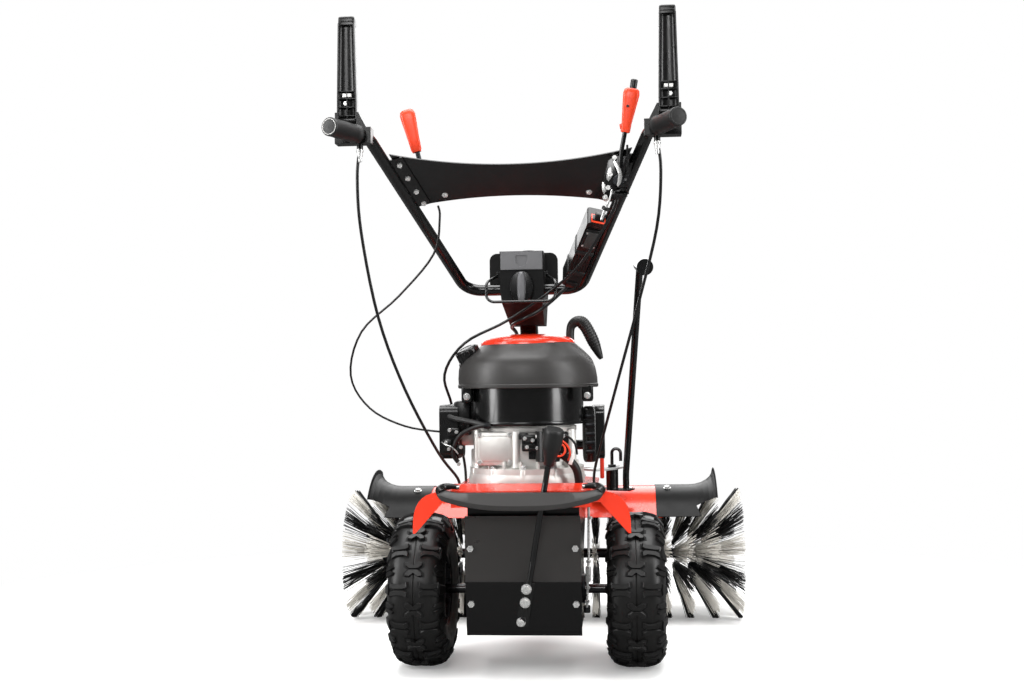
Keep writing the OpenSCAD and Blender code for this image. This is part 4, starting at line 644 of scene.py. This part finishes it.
# pale vinyl, near white and smooth: on the left grip's end cap it is a painted highlight, since both end caps are the
# same black rubber part; it is also used for the pale blocks on the clutch levers and the starter tags
paleVinylAndPaintedHighlight = makeFinish("pale vinyl, painted highlight on the left grip end", "#dad9d6", "#eceae7", 10, (0.3, 0.4), 6, 1, 0.02)
grip = {
    "start": 42,
    "sleeve": [(14.5, 0), (18.2, 0.2), (18.6, 2), (18.4, 5), (17.1, 8), (16.8, 14), (17.2, 40), (17.3, 62), (16.9, 78),
        (17.3, 82), (17.2, 86), (16.3, 87.6), (14.6, 88)],
    "end": [(14.6, 87), (14.5, 88.1), (13.6, 88.1), (13.2, 87.4), (7, 87.3), (3.2, 87.2), (2.8, 87.7), (0, 87.8)],
}


def makeGrips(s):
    grips = Assembly("rubberGrips")
    base = corner + tail * s["start"]
    # the left end cap (mirrored) is painted pale as a highlight; the right one stays black rubber
    for mirror, finish in ((False, rubber), (True, paleVinylAndPaintedHighlight)):
        grips.add(lathe(s["sleeve"], base, tail), rubber, mirror)
        grips.add(lathe(s["end"], base, tail), finish, mirror)
    grips.done("chassis", "rubber", "grips")


makeGrips(grip)
clutch = {
    "x": 300, "rear": -426, "front": -402, "pivot": (300, -414, 1108), "adjuster": (278, -414.5, 1046),
    "widths": [(1108, 38), (1150, 37), (1200, 35), (1250, 33), (1291, 31.5)],
}


def makeClutch(s, side):
    name = "left" if side < 0 else "right"
    lever = Assembly(name + "ClutchHandle")
    part, rings = bmesh.new(), []
    for z, w in s["widths"]:
        h, r, f = w / 2, s["rear"], s["front"]
        ring = [(-h, r), (-h - 0.3, r + 6), (-h + 0.6, f - 5), (-h + 4, f - 1), (-h / 2, f), (h / 2, f), (h - 4, f - 1),
            (h - 0.6, f - 5), (h + 0.3, r + 6), (h, r), (h - 2.4, r), (h - 4.4, r + 4), (h / 2, r + 7.5), (0, r + 8.6),
            (-h / 2, r + 7.5), (-h + 4.4, r + 4), (-h + 2.4, r)]
        rings.append([Vector((s["x"] + x, y, z)) for x, y in ring])
    skin(part, rings)
    mirror = side < 0
    lever.add(part, blackPlastic, mirror)
    mid = (s["rear"] + s["front"]) / 2
    top = ((1288, 31.6, 0), (1299, 31, 0), (1302.5, 30, 0.6), (1304, 28, 2))
    lever.add(loft([((s["x"], mid, z), w / 2, 12 - inset, 7) for z, w, inset in top], xAxis, yAxis), blackPlastic,
        mirror)
    webs = [(mid - 3, z, (32, 17, 2)) for z in (1116, 1132, 1148, 1162)]
    for y, z, size in [(s["rear"] - 0.2, 1294, (27, 1.6, 2.2)), *webs, (mid - 3, 1136, (2, 15, 50))]:
        lever.add(box((s["x"], y, z), size, 0.5), blackPlastic, mirror)
    lever.add(box((s["x"], mid - 4, 1155), (17, 12, 7), 0.8), paleVinylAndPaintedHighlight, mirror)
    lever.add(peg([(4, -3), (4, 3)], (s["x"] + 3, s["rear"] + 6, 1140), yAxis, 16), zinc, mirror)
    lever.add(peg([(9, -18.5), (10, -16), (10, 16), (9, 18.5)], s["pivot"], xAxis, 24), blackPlastic, mirror)
    lever.done(name + "_clutch", "black_plastic", name + "_clutch_lever")
    barrel = Assembly(name + "CableAdjuster")
    barrel.add(lathe([(0, -16), (3.4, -16), (3.8, -14), (3.8, -6), (5, -5.6), (5, 2), (6.6, 2.4), (6.6, 6), (5, 6.4),
        (5, 10), (0, 10)], s["adjuster"], zAxis, 20), zinc, mirror)
    barrel.done("chassis", "zinc_steel")


makeClutch(clutch, -1)
makeClutch(clutch, 1)
print("grips and clutch levers made")


def leverAxes(s):
    low, high = Vector(s["low"]), Vector(s["high"])
    along = (high - low).normalized()
    return low, high, along, Vector(yAxis).cross(along).normalized()


def leverGrip(s):
    # sections: (share of the way up, half width, half depth, squareness) each
    low, high, along, across = leverAxes(s)
    return loft([(low + (high - low) * share, *form) for share, *form in s["sections"]], across, yAxis)


throttle = {
    "low": (-185, -316, 1063), "high": (-205, -317, 1146),
    "sections": [(0, 8.5, 6, 3), (0.06, 10.3, 7.4, 3.4), (0.3, 11.6, 8, 3.6), (0.55, 13.2, 8.6, 3.6),
        (0.75, 14.8, 9, 3.4), (0.88, 15.4, 8.6, 3), (0.96, 13.6, 7.2, 2.6), (1, 9, 4, 2.4)],
    "stem": [(-178, -314.7, 1030), (-180, -315, 1045), (-185, -316, 1066)],
    "hub": (-178, -314.7, 1030.7), "hubAxis": (0, 0.62, 0.78),
}


def makePaddle(s):
    paddle = Assembly("throttlePaddle")
    paddle.add(leverGrip(s), redPlastic)
    paddle.add(tube(s["stem"], 4.6), darkSteel)
    paddle.add(peg([(9, -5), (10, -4), (10, 5), (9, 7)], s["hub"], s["hubAxis"], 28), blackPlastic)
    paddle.done("throttle", "red_plastic", "throttle_lever")


makePaddle(throttle)
brake = {
    "low": (219.5, -368, 1080), "high": (234, -370, 1162),
    "sections": [(0, 7, 6, 3), (0.02, 9, 7.5, 3), (0.1, 9.4, 8, 3.2), (0.2, 9.6, 8.4, 3.4), (0.5, 12.4, 9.4, 3.4),
        (0.75, 14.8, 10, 3.2), (0.88, 15.8, 10.2, 3), (0.97, 14.2, 9, 2.6), (1, 11, 6.5, 2.4)],
    "stem": [(206, -361, 985), (212, -365, 1045), (219.5, -368, 1082)],
    "hub": (206, -360, 990),
    "sector": [(198, 1028), (205, 1020), (211, 1008), (213, 997), (210, 984), (205, 976), (202, 981), (205, 990),
        (206, 1000), (203, 1011), (196, 1022)],
    "sectorRear": -371, "spacer": (209, 0, 1000), "catchTurn": -0.17, "buttonRise": 18,
}


def makeBrake(s):
    handle = Assembly("brakeHandle")
    low, high, along, across = leverAxes(s)
    handle.add(leverGrip(s), redPlastic)
    handle.add(box(low + along * 10 - across * 9.6, (5, 12, 9), 1.2, Matrix.Rotation(s["catchTurn"], 3, "Y")),
        redPlastic)
    screw = low + along * 48 - across * 3 + Vector((0, -9.2, 0))
    handle.add(peg([(2.6, -1), (2.6, 0.8)], screw, yAxis, 16), darkSteel)
    handle.add(tube(s["stem"], 4.4), blackPaint)
    handle.add(peg([(10, -5), (11, -4), (11, 2)], s["hub"], yAxis, 28), darkSteel)
    rear = s["sectorRear"]
    handle.add(plate(s["sector"][::-1], (0, rear, 0), xAxis, zAxis, 3, 0.5), zinc)
    handle.add(peg([(4, rear), (4, rear + 9)], s["spacer"], yAxis, 12), darkSteel)
    handle.done("brake", "red_plastic", "brake_lever")
    button = Assembly("brakeReleaseButton")
    top = high + along * s["buttonRise"] + across * 1.5
    button.add(lathe([(0, -24), (6.6, -24), (6.8, -4), (6.8, -1.6), (5.6, -0.2), (0, 0)], top, along, 24), blackPlastic)
    button.done("brake_release", "black_plastic", "brake_button")


makeBrake(brake)
# the ratchet's face lies in front of the lever, which swings to the rear
ratchet = {
    "face": -352,
    "pawl": [(187, 1014), (192, 1018), (195, 1010), (193, 998), (187, 990), (183, 995), (184, 1006)],
    "hook": [(176, 990), (181, 984), (182, 972), (178, 966), (174, 974), (174, 985)],
    "backing": [(180, 962), (196, 956), (222, 1038), (206, 1046), (186, 1030), (178, 1000)],
    "bolts": [(199, 1035), (180, 960), (191, 1003), (186, 978)],
    "stud": [(193, -362, 974), (188, -361, 954), (179, -358, 936), (172, -352, 918)],
    "boot": (181, -359, 938), "bootAxis": (0.45, -0.25, 0.85),
}


def makeRatchet(s):
    catch, face = Assembly("brakeRatchet"), s["face"]
    for outline in (s["pawl"], s["hook"]):
        catch.add(plate(outline[::-1], (0, face - 1, 0), xAxis, zAxis, 3, 0.5), zinc)
    catch.add(plate(s["backing"][::-1], (0, face + 3, 0), xAxis, zAxis, 3, 0.6), blackPaint)
    for x, z in s["bolts"]:
        catch.add(peg([(4.6, -7), (5.2, -6), (5.2, 1)], (x, face, z), yAxis, 6), zinc)
    catch.add(tube(s["stud"], [1.6, 1.8, 3.2, 2.6], 10), zinc)
    catch.add(peg([(7.5, -3), (8, -2), (8, 2), (7.5, 3)], s["boot"], s["bootAxis"], 24), rubber)
    catch.done("chassis", "zinc_steel")


makeRatchet(ratchet)
print("console controls made")

# shift gate: a sloping face over a lower lip, its ends hooked over the cowl
gate = {
    "half": 165, "rear": -243, "front": -221, "top": 392, "drop": 36, "endDrop": 12, "stations": 24, "crowding": 1.4,
    "sag": 2.6, "earFrom": 0.72, "earRise": 9, "earPower": 1.5, "taperFrom": 0.93, "taper": 0.55,
    "hook": [(156, -232, 391), (162, -222, 397), (155, -211, 402), (140, -207, 403), (124, -206, 401)],
}


def makeGate(s):
    bar = Assembly("shiftGateBar")
    part, rings = bmesh.new(), []
    rear, front, depth = s["rear"], s["front"], (s["rear"] + s["front"]) / 2
    for i in range(-s["stations"], s["stations"] + 1):
        u = i / s["stations"]
        x = s["half"] * math.copysign(1 - (1 - abs(u)) ** s["crowding"], u)
        v = abs(x) / s["half"]
        low = s["top"] - s["drop"] + (s["drop"] - s["endDrop"]) * v ** s["sag"]
        high = s["top"] + s["earRise"] * max(0, (v - s["earFrom"]) / (1 - s["earFrom"])) ** s["earPower"]
        taper = 1 - max(0, (v - s["taperFrom"]) / (1 - s["taperFrom"])) ** 2 * s["taper"]
        mid = (low + high) / 2
        line = [(front, high - 2), (front - 2, high), (rear + 14, high), (rear + 11, high - 1.2),
            (rear + 1.5, low + 13), (rear, low + 10.5), (rear + 0.6, low + 8), (rear + 3, low + 2), (rear + 6, low),
            (front - 2, low + 1), (front, low + 3)]
        rings.append([Vector((x, depth + (y - depth) * taper, mid + (z - mid) * taper)) for y, z in line])
    skin(part, rings)
    bar.add(part, charcoal)
    for mirror in (False, True):
        path = glide(s["hook"], 5)
        sizes = [9.5 - 5.5 * (i / (len(path) - 1)) ** 1.5 for i in range(len(path))]
        bar.add(tube(path, sizes, 14), blackPlastic, mirror)
        bar.add(peg([(4, -2), (4, 2.4), (3, 3)], (127, -207, 402), (0, -0.5, 1), 12), zinc, mirror)
    bar.done("chassis", "black_plastic", "gate_panel", smooth=32)


makeGate(gate)

# engine top: ribbed filler cap, ribbed recoil handle
capAxis = Vector((-0.394655, -0.241922, 0.886409))
capBase = Vector((-101, -58, 633)) + capAxis * 33
cap = {
    "profile": [(0, 0), (24, 0), (24.4, 1), (24.4, 20), (23.4, 23.6), (21, 25.4), (14, 25.8), (13.4, 24.8), (0, 24.6)],
    "rib": [(-2.2, 23.5), (-1.5, 25.6), (0, 26), (1.5, 25.6), (2.2, 23.5)],
    "ribLevels": (1, 2, 19, 22), "ribs": 16,
}


def makeCap(s):
    lid = Assembly("ribbedFillerCap")
    lid.add(lathe(s["profile"], capBase, capAxis), blackPlastic)
    rib = bmesh.new()
    skin(rib, [[(h, w, r) for w, r in s["rib"]] for h in s["ribLevels"]])
    bmesh.ops.scale(rib, vec=(0.001,) * 3, verts=rib.verts)
    ribs = bmesh.new()
    ribs.from_mesh(grow(turned, "capRibs", meshFrom("capRib", rib),
        {"Count": s["ribs"], "Step": 2 * math.pi / s["ribs"], "Finish": blackPlastic}))
    turn = capAxis.to_track_quat("X", "Z").to_matrix().to_4x4()
    bmesh.ops.transform(ribs, matrix=Matrix.Translation(at(*capBase)) @ turn, verts=ribs.verts)
    lid.take(ribs, blackPlastic)
    lid.done("filler_cap", "black_plastic", "fuel_cap")


makeCap(cap)
recoil = {
    "path": [(95, 20, 695.4), (95, 20, 716), (97.5, 20, 731), (106, 20, 740), (117, 20, 741), (127, 20, 733),
        (139, 20, 711), (151, 20, 684), (162, 20, 659)],
    "thin": 9, "swell": 4.4, "swellFrom": 0.2, "swellOver": 0.35, "tipFrom": 0.78, "tipOver": 0.22,
    "ribs": range(36, 64, 2), "rib": [(-1.1, -0.3), (-0.5, 0.8), (0.5, 0.8), (1.1, -0.3)],
}


def makeRecoil(s):
    handle = Assembly("recoilHandle")
    path = glide(s["path"], 9)
    sizes = []
    for i in range(len(path)):
        t = i / (len(path) - 1)
        swell = s["thin"] + s["swell"] * min(1, max(0, (t - s["swellFrom"]) / s["swellOver"]))
        sizes.append(swell * (1 - 0.7 * max(0, (t - s["tipFrom"]) / s["tipOver"]) ** 1.6))
    handle.add(tube(path, sizes, 18), rubber)
    for i in s["ribs"]:
        along = (path[i + 1] - path[i - 1]).normalized()
        handle.add(tube([path[i] + along * d for d, r in s["rib"]], [sizes[i] + r for d, r in s["rib"]], 18), rubber)
    handle.done("pull_grip", "rubber", "recoil_grip")


makeRecoil(recoil)
knob = {
    "z": 810,
    "body": [(-104.2, 23.5, 32, 2.2), (-106, 25, 33.5, 2.2), (-113, 25, 33.5, 2.2), (-116.5, 23.5, 32, 2.2),
        (-117.5, 20, 28, 2.2)],
    "bar": [(-114, 9, 32, 3), (-122, 7.8, 31.5, 3), (-127, 7, 30, 3), (-129.5, 5.2, 27, 2.6), (-130, 3, 22, 2.4)],
}


def makeKnob(s):
    dial = Assembly("columnKnob")
    for part, sides, finish in (("body", 40, blackPlastic), ("bar", 32, greyPlastic)):
        dial.add(loft([((0, y, s["z"]), *form) for y, *form in s[part]], xAxis, zAxis, sides), finish)
    dial.done("knob", "black_plastic", "switch_knob")


makeKnob(knob)
print("engine top and column fittings made")

# engine: dome, casting details, hoses and starter wiring
engine = {
    "x": 0, "y": -25, "ribRing": 111, "ribs": range(196, 341, 18), "boltRing": 116,
    "flangeBolts": (205, 237, 270, 303, 335),
    "dome": [(0, 664), (100, 664), (101.5, 666), (101.2, 694), (98.5, 700), (90, 706), (72, 710.5), (45, 713),
        (20, 714), (0, 714.2)],
    "flange": [(100, 396), (121, 396), (124, 399), (124.6, 408), (123, 418), (118, 427), (110, 434), (104, 437),
        (100, 437)],
    "collar": [(100, 506), (106.5, 507), (107.4, 509), (107.4, 517), (100, 517)],
    "bosses": [(-98, -72, 432, 512, 11), (-14, -128, 434, 510, 8.5), (96, -76, 430, 512, 12),
        (-104, -50, 424, 470, 13)],
    "coverScrews": [(-90, 502), (-27, 502), (-90, 446), (-27, 446)],
    "lip": [(118, 522), (124.4, 522), (125.6, 523.5), (125.6, 528), (124.4, 529.5), (118, 529.5)],
    "shroud": [(599, 5, 143), (599, 5, 148), (600.5, 5, 150.3), (606, 5, 150.6), (607.5, 5, 149.2), (620, 4.5, 149.2),
        (638, 3.5, 147), (650, 2.8, 143.8), (659, 3, 139.5), (666, 4, 133), (681, 7, 114.5), (696, 9.5, 95),
        (700.5, 10, 91), (703, 10, 88), (703.6, 10, 85)],
    "shroudFeet": (-119, 134),
}


def makeDome(s):
    dome = Assembly("domedTopCover")
    dome.add(lathe(s["dome"], (s["x"] + 6, s["y"], 0), zAxis, 96), redPaint)
    dome.done("chassis", "red_paint", "top_cover")


makeDome(engine)


def makeCasting(s):
    casting = Assembly("crankcaseCasting")
    middle = (s["x"], s["y"], 0)
    for profile in (s["flange"], s["collar"]):
        casting.add(lathe(profile, middle, zAxis, 96), alloy)
    cover, raised = ((-60, 0), (-124, 0), (-127, 1), (-128.5, 3.5)), ((-127, 0), (-129.6, 0.2), (-130.2, 1.2))
    for steps, wide, high, square in ((cover, 43, 35, 7), (raised, 35, 26, 8)):
        casting.add(loft([((-58, y, 474), wide - r, high - r, square) for y, r in steps], xAxis, zAxis, 48), alloy)
    for x, y, low, high, r in s["bosses"]:
        profile = [(r + 2.5, low), (r + 0.6, low + 5), (r, low + 12), (r, high - 3), (r - 1.5, high)]
        casting.add(peg(profile, (x, y, 0), zAxis, 24), alloy)

    def onRing(radius, angle, z):
        return s["x"] + radius * math.cos(angle), s["y"] + radius * math.sin(angle), z

    for angle in map(math.radians, s["ribs"]):
        casting.add(box(onRing(s["ribRing"], angle, 437), (17, 5, 20), 2, Matrix.Rotation(angle, 3, "Z")), alloy)
    for angle in map(math.radians, s["flangeBolts"]):
        place = onRing(s["boltRing"], angle, 0)
        casting.add(peg([(7.4, 391), (7.8, 393), (7.8, 428), (6.6, 431)], place, zAxis, 20), alloy)
        casting.add(peg([(5.8, 430), (5.8, 436), (5, 437)], place, zAxis, 6), zinc)
    for x, z in s["coverScrews"]:
        casting.add(peg([(5.4, -1), (5.4, 2.6), (4.4, 3.6)], (x, -128, z), rearward, 6), zinc)
    casting.done("chassis", "cast_alloy")
    lip = Assembly("housingLip")
    lip.add(lathe(s["lip"], middle, zAxis, 96, closed=True), blackPaint)
    steps = ((-30, 4), (-28, 1), (-26, 0), (20, 0))
    lip.add(loft([((135, y, 498), 15 - r, 60 - r, 6) for y, r in steps], xAxis, zAxis, 40), blackPaint)
    for k in range(5):
        lip.add(box((136, -31, 460 + k * 19), (20, 5, 9), 2), darkSteel)
    lip.done("chassis", "black_paint")


makeCasting(engine)
fuelSide = {
    "throat": [(-142, 3), (-139, 0), (-112, 0), (-104, 5)],
    "hoses": [(5.8, [(-160, -76, 540), (-146, -88, 536), (-122, -104, 532), (-96, -122, 527), (-70, -134, 520)]),
        (4.8, [(-66, -134, 521), (-86, -130, 522), (-107, -118, 516), (-132, -100, 503), (-147, -90, 482),
        (-151, -84, 460), (-142, -80, 444)])],
    "clip": (-70, -134, 520.4), "clipAxis": (-1, 0.3, 0.25),
    "boxes": [((-150, -82, 508), (26, 14, 18), 3), ((-134, -48, 536), (36, 44, 74), 7),
        ((-163, -80, 480), (18, 12, 26), 3), ((-136, -84, 470), (16, 14, 22), 3)],
    "screws": [(-158, -91, 512), (-143, -92, 508), (-166, -88, 486), (-160, -88, 472), (-134, -93, 476),
        (-140, -84, 440)],
    "rod": [(-176, -78, 486), (-168, -92, 482), (-152, -96, 476), (-140, -92, 462)],
}


def makeFuelSide(s):
    side = Assembly("carburettorAndHoses")
    side.add(loft([((x, -14, 500), 25 - r, 24 - r, 4) for x, r in s["throat"]], yAxis, zAxis, 32), alloy)
    for radius, path in s["hoses"]:
        side.add(tube(glide(path, 6), radius, 16), rubber)
    side.add(peg([(6.6, 0), (6.8, 1), (6.8, 9)], s["clip"], s["clipAxis"], 16), darkSteel)
    for form in s["boxes"]:
        side.add(box(*form), blackPlastic)
    for place in s["screws"]:
        side.add(peg([(4.2, -2), (4.2, 2.4), (3.4, 3.2)], place, rearward, 6), zinc)
    side.add(tube(glide(s["rod"], 5), 1.3, 8), zinc)
    side.done("chassis", "cast_alloy", "carburettor")


makeFuelSide(fuelSide)
starterSide = {
    "boxes": [((14, -142, 486), (30, 22, 34), 3), ((2, -138, 500), (20, 20, 14), 3),
        ((84, -136, 486), (22, 30, 44), 4)],
    "fins": (474, 482, 490, 498), "loop": (76, -158, 472), "loopRadius": 12.5, "loopDepth": 3,
    "loopTurns": range(-8, 11),
    "leads": [(redPlastic, 2.2, 8, [(80, -152, 492), (92, -154, 482), (98, -150, 466), (94, -146, 450)]),
        (sheathVinyl, 2.4, 10, [(68, -146, 506), (92, -150, 500), (108, -146, 484), (112, -140, 462)]),
        (rubber, 8.5, 16, [(80, -138, 462), (98, -138, 448), (110, -132, 430), (114, -126, 408), (114, -122, 394)])],
    "tags": [((101, -148, 452), (8, 8, 22), 1.2, Matrix.Rotation(0.35, 3, "Y")), ((33, -152, 500), (10, 8, 7), 1.2)],
    "screws": [(6, -155, 496), (22, -155, 492), (10, -155, 478), (32, -156, 476), (84, -152, 500)],
}


def makeStarterSide(s):
    side = Assembly("starterWiring")
    for form in s["boxes"] + [((14, -154, z), (26, 3, 2.4), 0.6) for z in s["fins"]]:
        side.add(box(*form), blackPlastic)
    (x, y, z), radius = s["loop"], s["loopRadius"]
    turns = [k * math.pi / 12 for k in s["loopTurns"]]
    ring = [(x + radius * math.cos(a), y + s["loopDepth"] * math.sin(a), z + radius * math.sin(a)) for a in turns]
    side.add(tube(ring, 2.2, 10), redPlastic)
    for finish, radius, sides, path in s["leads"]:
        side.add(tube(glide(path, 6), radius, sides), finish)
    for form in s["tags"]:
        side.add(box(*form), paleVinylAndPaintedHighlight)
    for place in s["screws"]:
        side.add(peg([(4.4, -2), (4.4, 2.6), (3.6, 3.4)], place, rearward, 6), zinc)
    side.done("chassis", "black_plastic")


makeStarterSide(starterSide)
print("engine details made")


def makeShroud(s):
    shroud = Assembly("mouldedShroud")
    shroud.add(loft([((x, s["y"], z), r, r, 2.1) for z, x, r in s["shroud"]], xAxis, yAxis, 120), charcoal)
    shroud.add(peg([(30, -36), (29, -4), (27.6, -0.4)], capBase, capAxis, 48), charcoal)
    steps = ((602, 0), (575, 0), (571, 1.5), (569.5, 4))
    for x in s["shroudFeet"]:
        shroud.add(loft([((x, -93, z), 12 - r, 11 - r, 4) for z, r in steps], xAxis, yAxis, 28), blackPlastic)
        shroud.add(peg([(7.2, -2), (7.2, 1.2), (5.6, 1.4), (5.6, 5), (4.6, 6)], (x, -104, 582), rearward, 24), zinc)
    shroud.done("chassis", "satin_shroud", "engine_shroud", smooth=30)


makeShroud(engine)
shiftKnob = {
    "base": (57.8, -221.8, 445), "axis": (0.175, -0.239, 0.955),
    "profile": [(0, 0), (8, 0), (9.6, 1.5), (11.5, 14), (15.5, 26), (18.8, 36), (20, 46), (20.4, 70), (19.8, 74.5),
        (17.6, 77), (14, 77.2), (0, 76)],
}


def makeShiftKnob(s):
    top = Assembly("shiftKnobMoulding")
    top.add(lathe(s["profile"], s["base"], Vector(s["axis"]).normalized()), rubber)
    top.done("shift", "rubber", "shift_knob")


makeShiftKnob(shiftKnob)
driveSide = {
    "rod": [(134, -120, 372), (132, -120, 251), (127, -120, 146)],
    "lean": (0.04, 0, 1), "slope": 0.047, "turnbuckle": (130.5, -120, 214), "nuts": (240, 186, 158, 330),
    "foot": ((127, -118, 142), (14, 8, 16), 2), "upright": ((158, 150, 446.5), (9, 24, 113), 2),
}


def makeDriveSide(s):
    rod = Assembly("driveTieRod")
    rod.add(tube(s["rod"], 2.8, 12), zinc)
    rod.add(peg([(5.6, -16), (6.2, -14), (6.2, 14), (5.6, 16)], s["turnbuckle"], s["lean"], 6), zinc)
    x, y, middle = s["rod"][1]
    for z in s["nuts"]:
        rod.add(peg([(5.2, -2.6), (5.2, 2.6)], (x - (middle - z) * s["slope"], y, z), s["lean"], 6), zinc)
    rod.add(box(*s["foot"]), blackPaint)
    rod.done("chassis", "zinc_steel")
    post = Assembly("deckUpright")
    post.add(box(*s["upright"]), redPaint)
    post.done("chassis", "red_paint")


makeDriveSide(driveSide)
battery = {"middle": (131.3, -164.1, 883), "along": (0.313, -0.744, 0.591), "out": (0, -0.622, -0.783)}


def makeBattery(s):
    pack = Assembly("batteryFittings")
    along, out = Vector(s["along"]).normalized(), Vector(s["out"]).normalized()
    across = along.cross(out)
    turn = Matrix((along, across, out)).transposed()

    def spot(a, w, h):
        return Vector(s["middle"]) + along * a + across * w + out * h

    def block(a, w, h, size, rounding, finish):
        pack.add(box(spot(a, w, h), size, rounding, turn), finish)

    for a in (-52, 8):
        block(a, 0, 0, (11, 38, 48), 2, rubber)
    for w in (-11, -4, 3, 10):
        block(-22, w, 22.5, (40, 2.2, 3), 0.7, blackPlastic)
    for form in ((52, 0, 23, (56, 30, 7), 2.4, blackPlastic), (52, 0, 27, (44, 20, 4), 1.6, charcoal),
            (94, 2, 12, (16, 28, 20), 2.5, blackPlastic), (100, 2, 12, (3.4, 29, 21), 1, redPlastic),
            (106, 4, 10, (12, 20, 14), 2, blackPlastic), (-88, 0, 22, (16, 24, 6), 2, blackPlastic)):
        block(*form)
    for a, w in ((34, -11), (34, 11), (70, -11), (70, 11)):
        pack.add(peg([(2.6, 0), (2.6, 1.4)], spot(a, w, 26), out, 12), zinc)
    pack.done("chassis", "black_plastic")


makeBattery(battery)
boltSink, boltRoll = 0.0002, 0.7  # metres into the surface, radians from each bolt to the next


def fromBehind(x, z):  # a line of sight from straight behind, in millimetres
    return at(x, -3000, z), Vector(yAxis)


def fromCamera(across, down):  # the camera's line through a point of the picture
    view, (wide, high) = scene.camera.matrix_world, viewpoint["image"]
    ray = view.to_3x3() @ Vector((across - wide / 2, high / 2 - down, -viewpoint["focalPixels"]))
    return view.translation, ray.normalized()


def makeBolts(name, body, sight, spots):
    # spots: (CAD solid that the line of sight meets, the line's two values, size across corners) each
    places = []
    for order, (solid, first, second, size) in enumerate(spots):
        part = bmesh.new()
        part.from_mesh(nodes[solid].data)
        bmesh.ops.remove_doubles(part, verts=part.verts, dist=1e-6)
        place, normal = BVHTree.FromBMesh(part).ray_cast(*sight(first, second))[:2]
        part.free()
        places.append((place - normal * boltSink, normal, (size / 1000,) * 3, order * boltRoll, False))
    addPiece(name, standCopies(name, boltMesh(), places, zinc), body, "zinc_steel", smooth=30)


makeBolts("coverBolts", "brush_head", fromCamera, [("centre_cover", 630, 489, 15), ("side_covers", 667, 488, 15),
    ("side_covers", 418, 491, 15)])
makeBolts("consoleBolts", "chassis", fromCamera, [("console_panel", 445, 195, 9), ("console_panel", 589, 192, 9),
    ("console_panel", 606, 188, 9)])
makeBolts("shiftPlateBolts", "shift", fromBehind, [("shift_lever", 8, 195, 16), ("shift_lever", 5, 168, 16),
    ("shift_lever", -4, 128, 14)])
print("drive side, battery and bolts made")

# studio: pale floor, soft boxes, white surround for the camera and for reflections
studio = {"floor": "#f4f4f3", "mirrored": "#6e6e6e", "fill": 0.16, "whiteFrom": 0.9, "whiteTo": 2.0}
lamps = {
    "overhead": {"place": (0, -100, 3000), "aim": (0, 100, 300), "size": (3.0, 2.2), "power": 130},
    "leftBox": {"place": (-2500, -1300, 1500), "aim": (0, 100, 500), "size": (0.9, 2.4), "power": 70},
    "rightBox": {"place": (2500, -1100, 1500), "aim": (0, 100, 500), "size": (0.9, 2.4), "power": 62},
    "behindCamera": {"place": (-500, -4300, 2600), "aim": (0, 0, 500), "size": (1.8, 1.0), "power": 55},
    "backBox": {"place": (0, 3200, 2000), "aim": (0, 200, 500), "size": (4, 2), "power": 70},
}
for name, s in lamps.items():
    light = bpy.data.lights.new(name, "AREA")
    light.shape = "RECTANGLE"
    light.size, light.size_y = s["size"]
    light.energy = s["power"]
    lamp = bpy.data.objects.new(name, light)
    direction = at(*s["aim"]) - at(*s["place"])
    lamp.matrix_world = Matrix.Translation(at(*s["place"])) @ direction.to_track_quat("-Z", "Y").to_matrix().to_4x4()
    scene.collection.objects.link(lamp)

world = bpy.data.worlds.new("studio surround")
scene.world = world
tree = freshTree(world)
ray = addNode(tree, "LightPath")
seen = addNode(tree, "Math", {"operation": "MAXIMUM"},
    {0: ray.outputs["Is Camera Ray"], 1: ray.outputs["Is Transmission Ray"]})
white = addNode(tree, "Background", {"Color": (1, 1, 1, 1), "Strength": 1})
soft = addNode(tree, "Background", {"Color": (1, 1, 1, 1), "Strength": studio["fill"]})
blend = addNode(tree, "MixShader", None, {0: seen, 1: soft, 2: white})
addNode(tree, "OutputWorld", None, {"Surface": blend})

floorMesh = bpy.data.meshes.new("studioFloor")
floorMesh.from_pydata([(-8, -6, 0), (8, -6, 0), (8, 10, 0), (-8, 10, 0)], [], [(0, 1, 2, 3)])
floor = bpy.data.objects.new("studioFloor", floorMesh)
scene.collection.objects.link(floor)
paper = bpy.data.materials.new("studio paper")
tree = freshTree(paper)
ray = addNode(tree, "LightPath")
shade = addNode(tree, "Mix", {"data_type": "RGBA", 6: toLinear(studio["floor"]), 7: toLinear(studio["mirrored"])},
    {0: ray.outputs["Is Glossy Ray"]})
matt = addNode(tree, "BsdfDiffuse", None, {"Color": shade.outputs[2]})
glow = addNode(tree, "Emission", {"Color": (1, 1, 1, 1), "Strength": 0.2})
lit = addNode(tree, "AddShader", None, {0: matt, 1: glow})
white = addNode(tree, "Emission", {"Color": (1, 1, 1, 1), "Strength": 1})
place = addNode(tree, "TexCoord").outputs["Object"]
away = addNode(tree, "VectorMath", {"operation": "LENGTH"}, {0: place})
fade = addNode(tree, "MapRange", {"interpolation_type": "SMOOTHSTEP", "From Min": studio["whiteFrom"],
    "From Max": studio["whiteTo"]}, {"Value": away.outputs["Value"]})
faded = addNode(tree, "MixShader", None, {0: fade.outputs["Result"], 1: lit, 2: white})
choice = addNode(tree, "MixShader", None, {0: ray.outputs["Is Camera Ray"], 1: matt, 2: faded})
addNode(tree, "OutputMaterial", None, {"Surface": choice})
floorMesh.materials.append(paper)
print("studio lit")
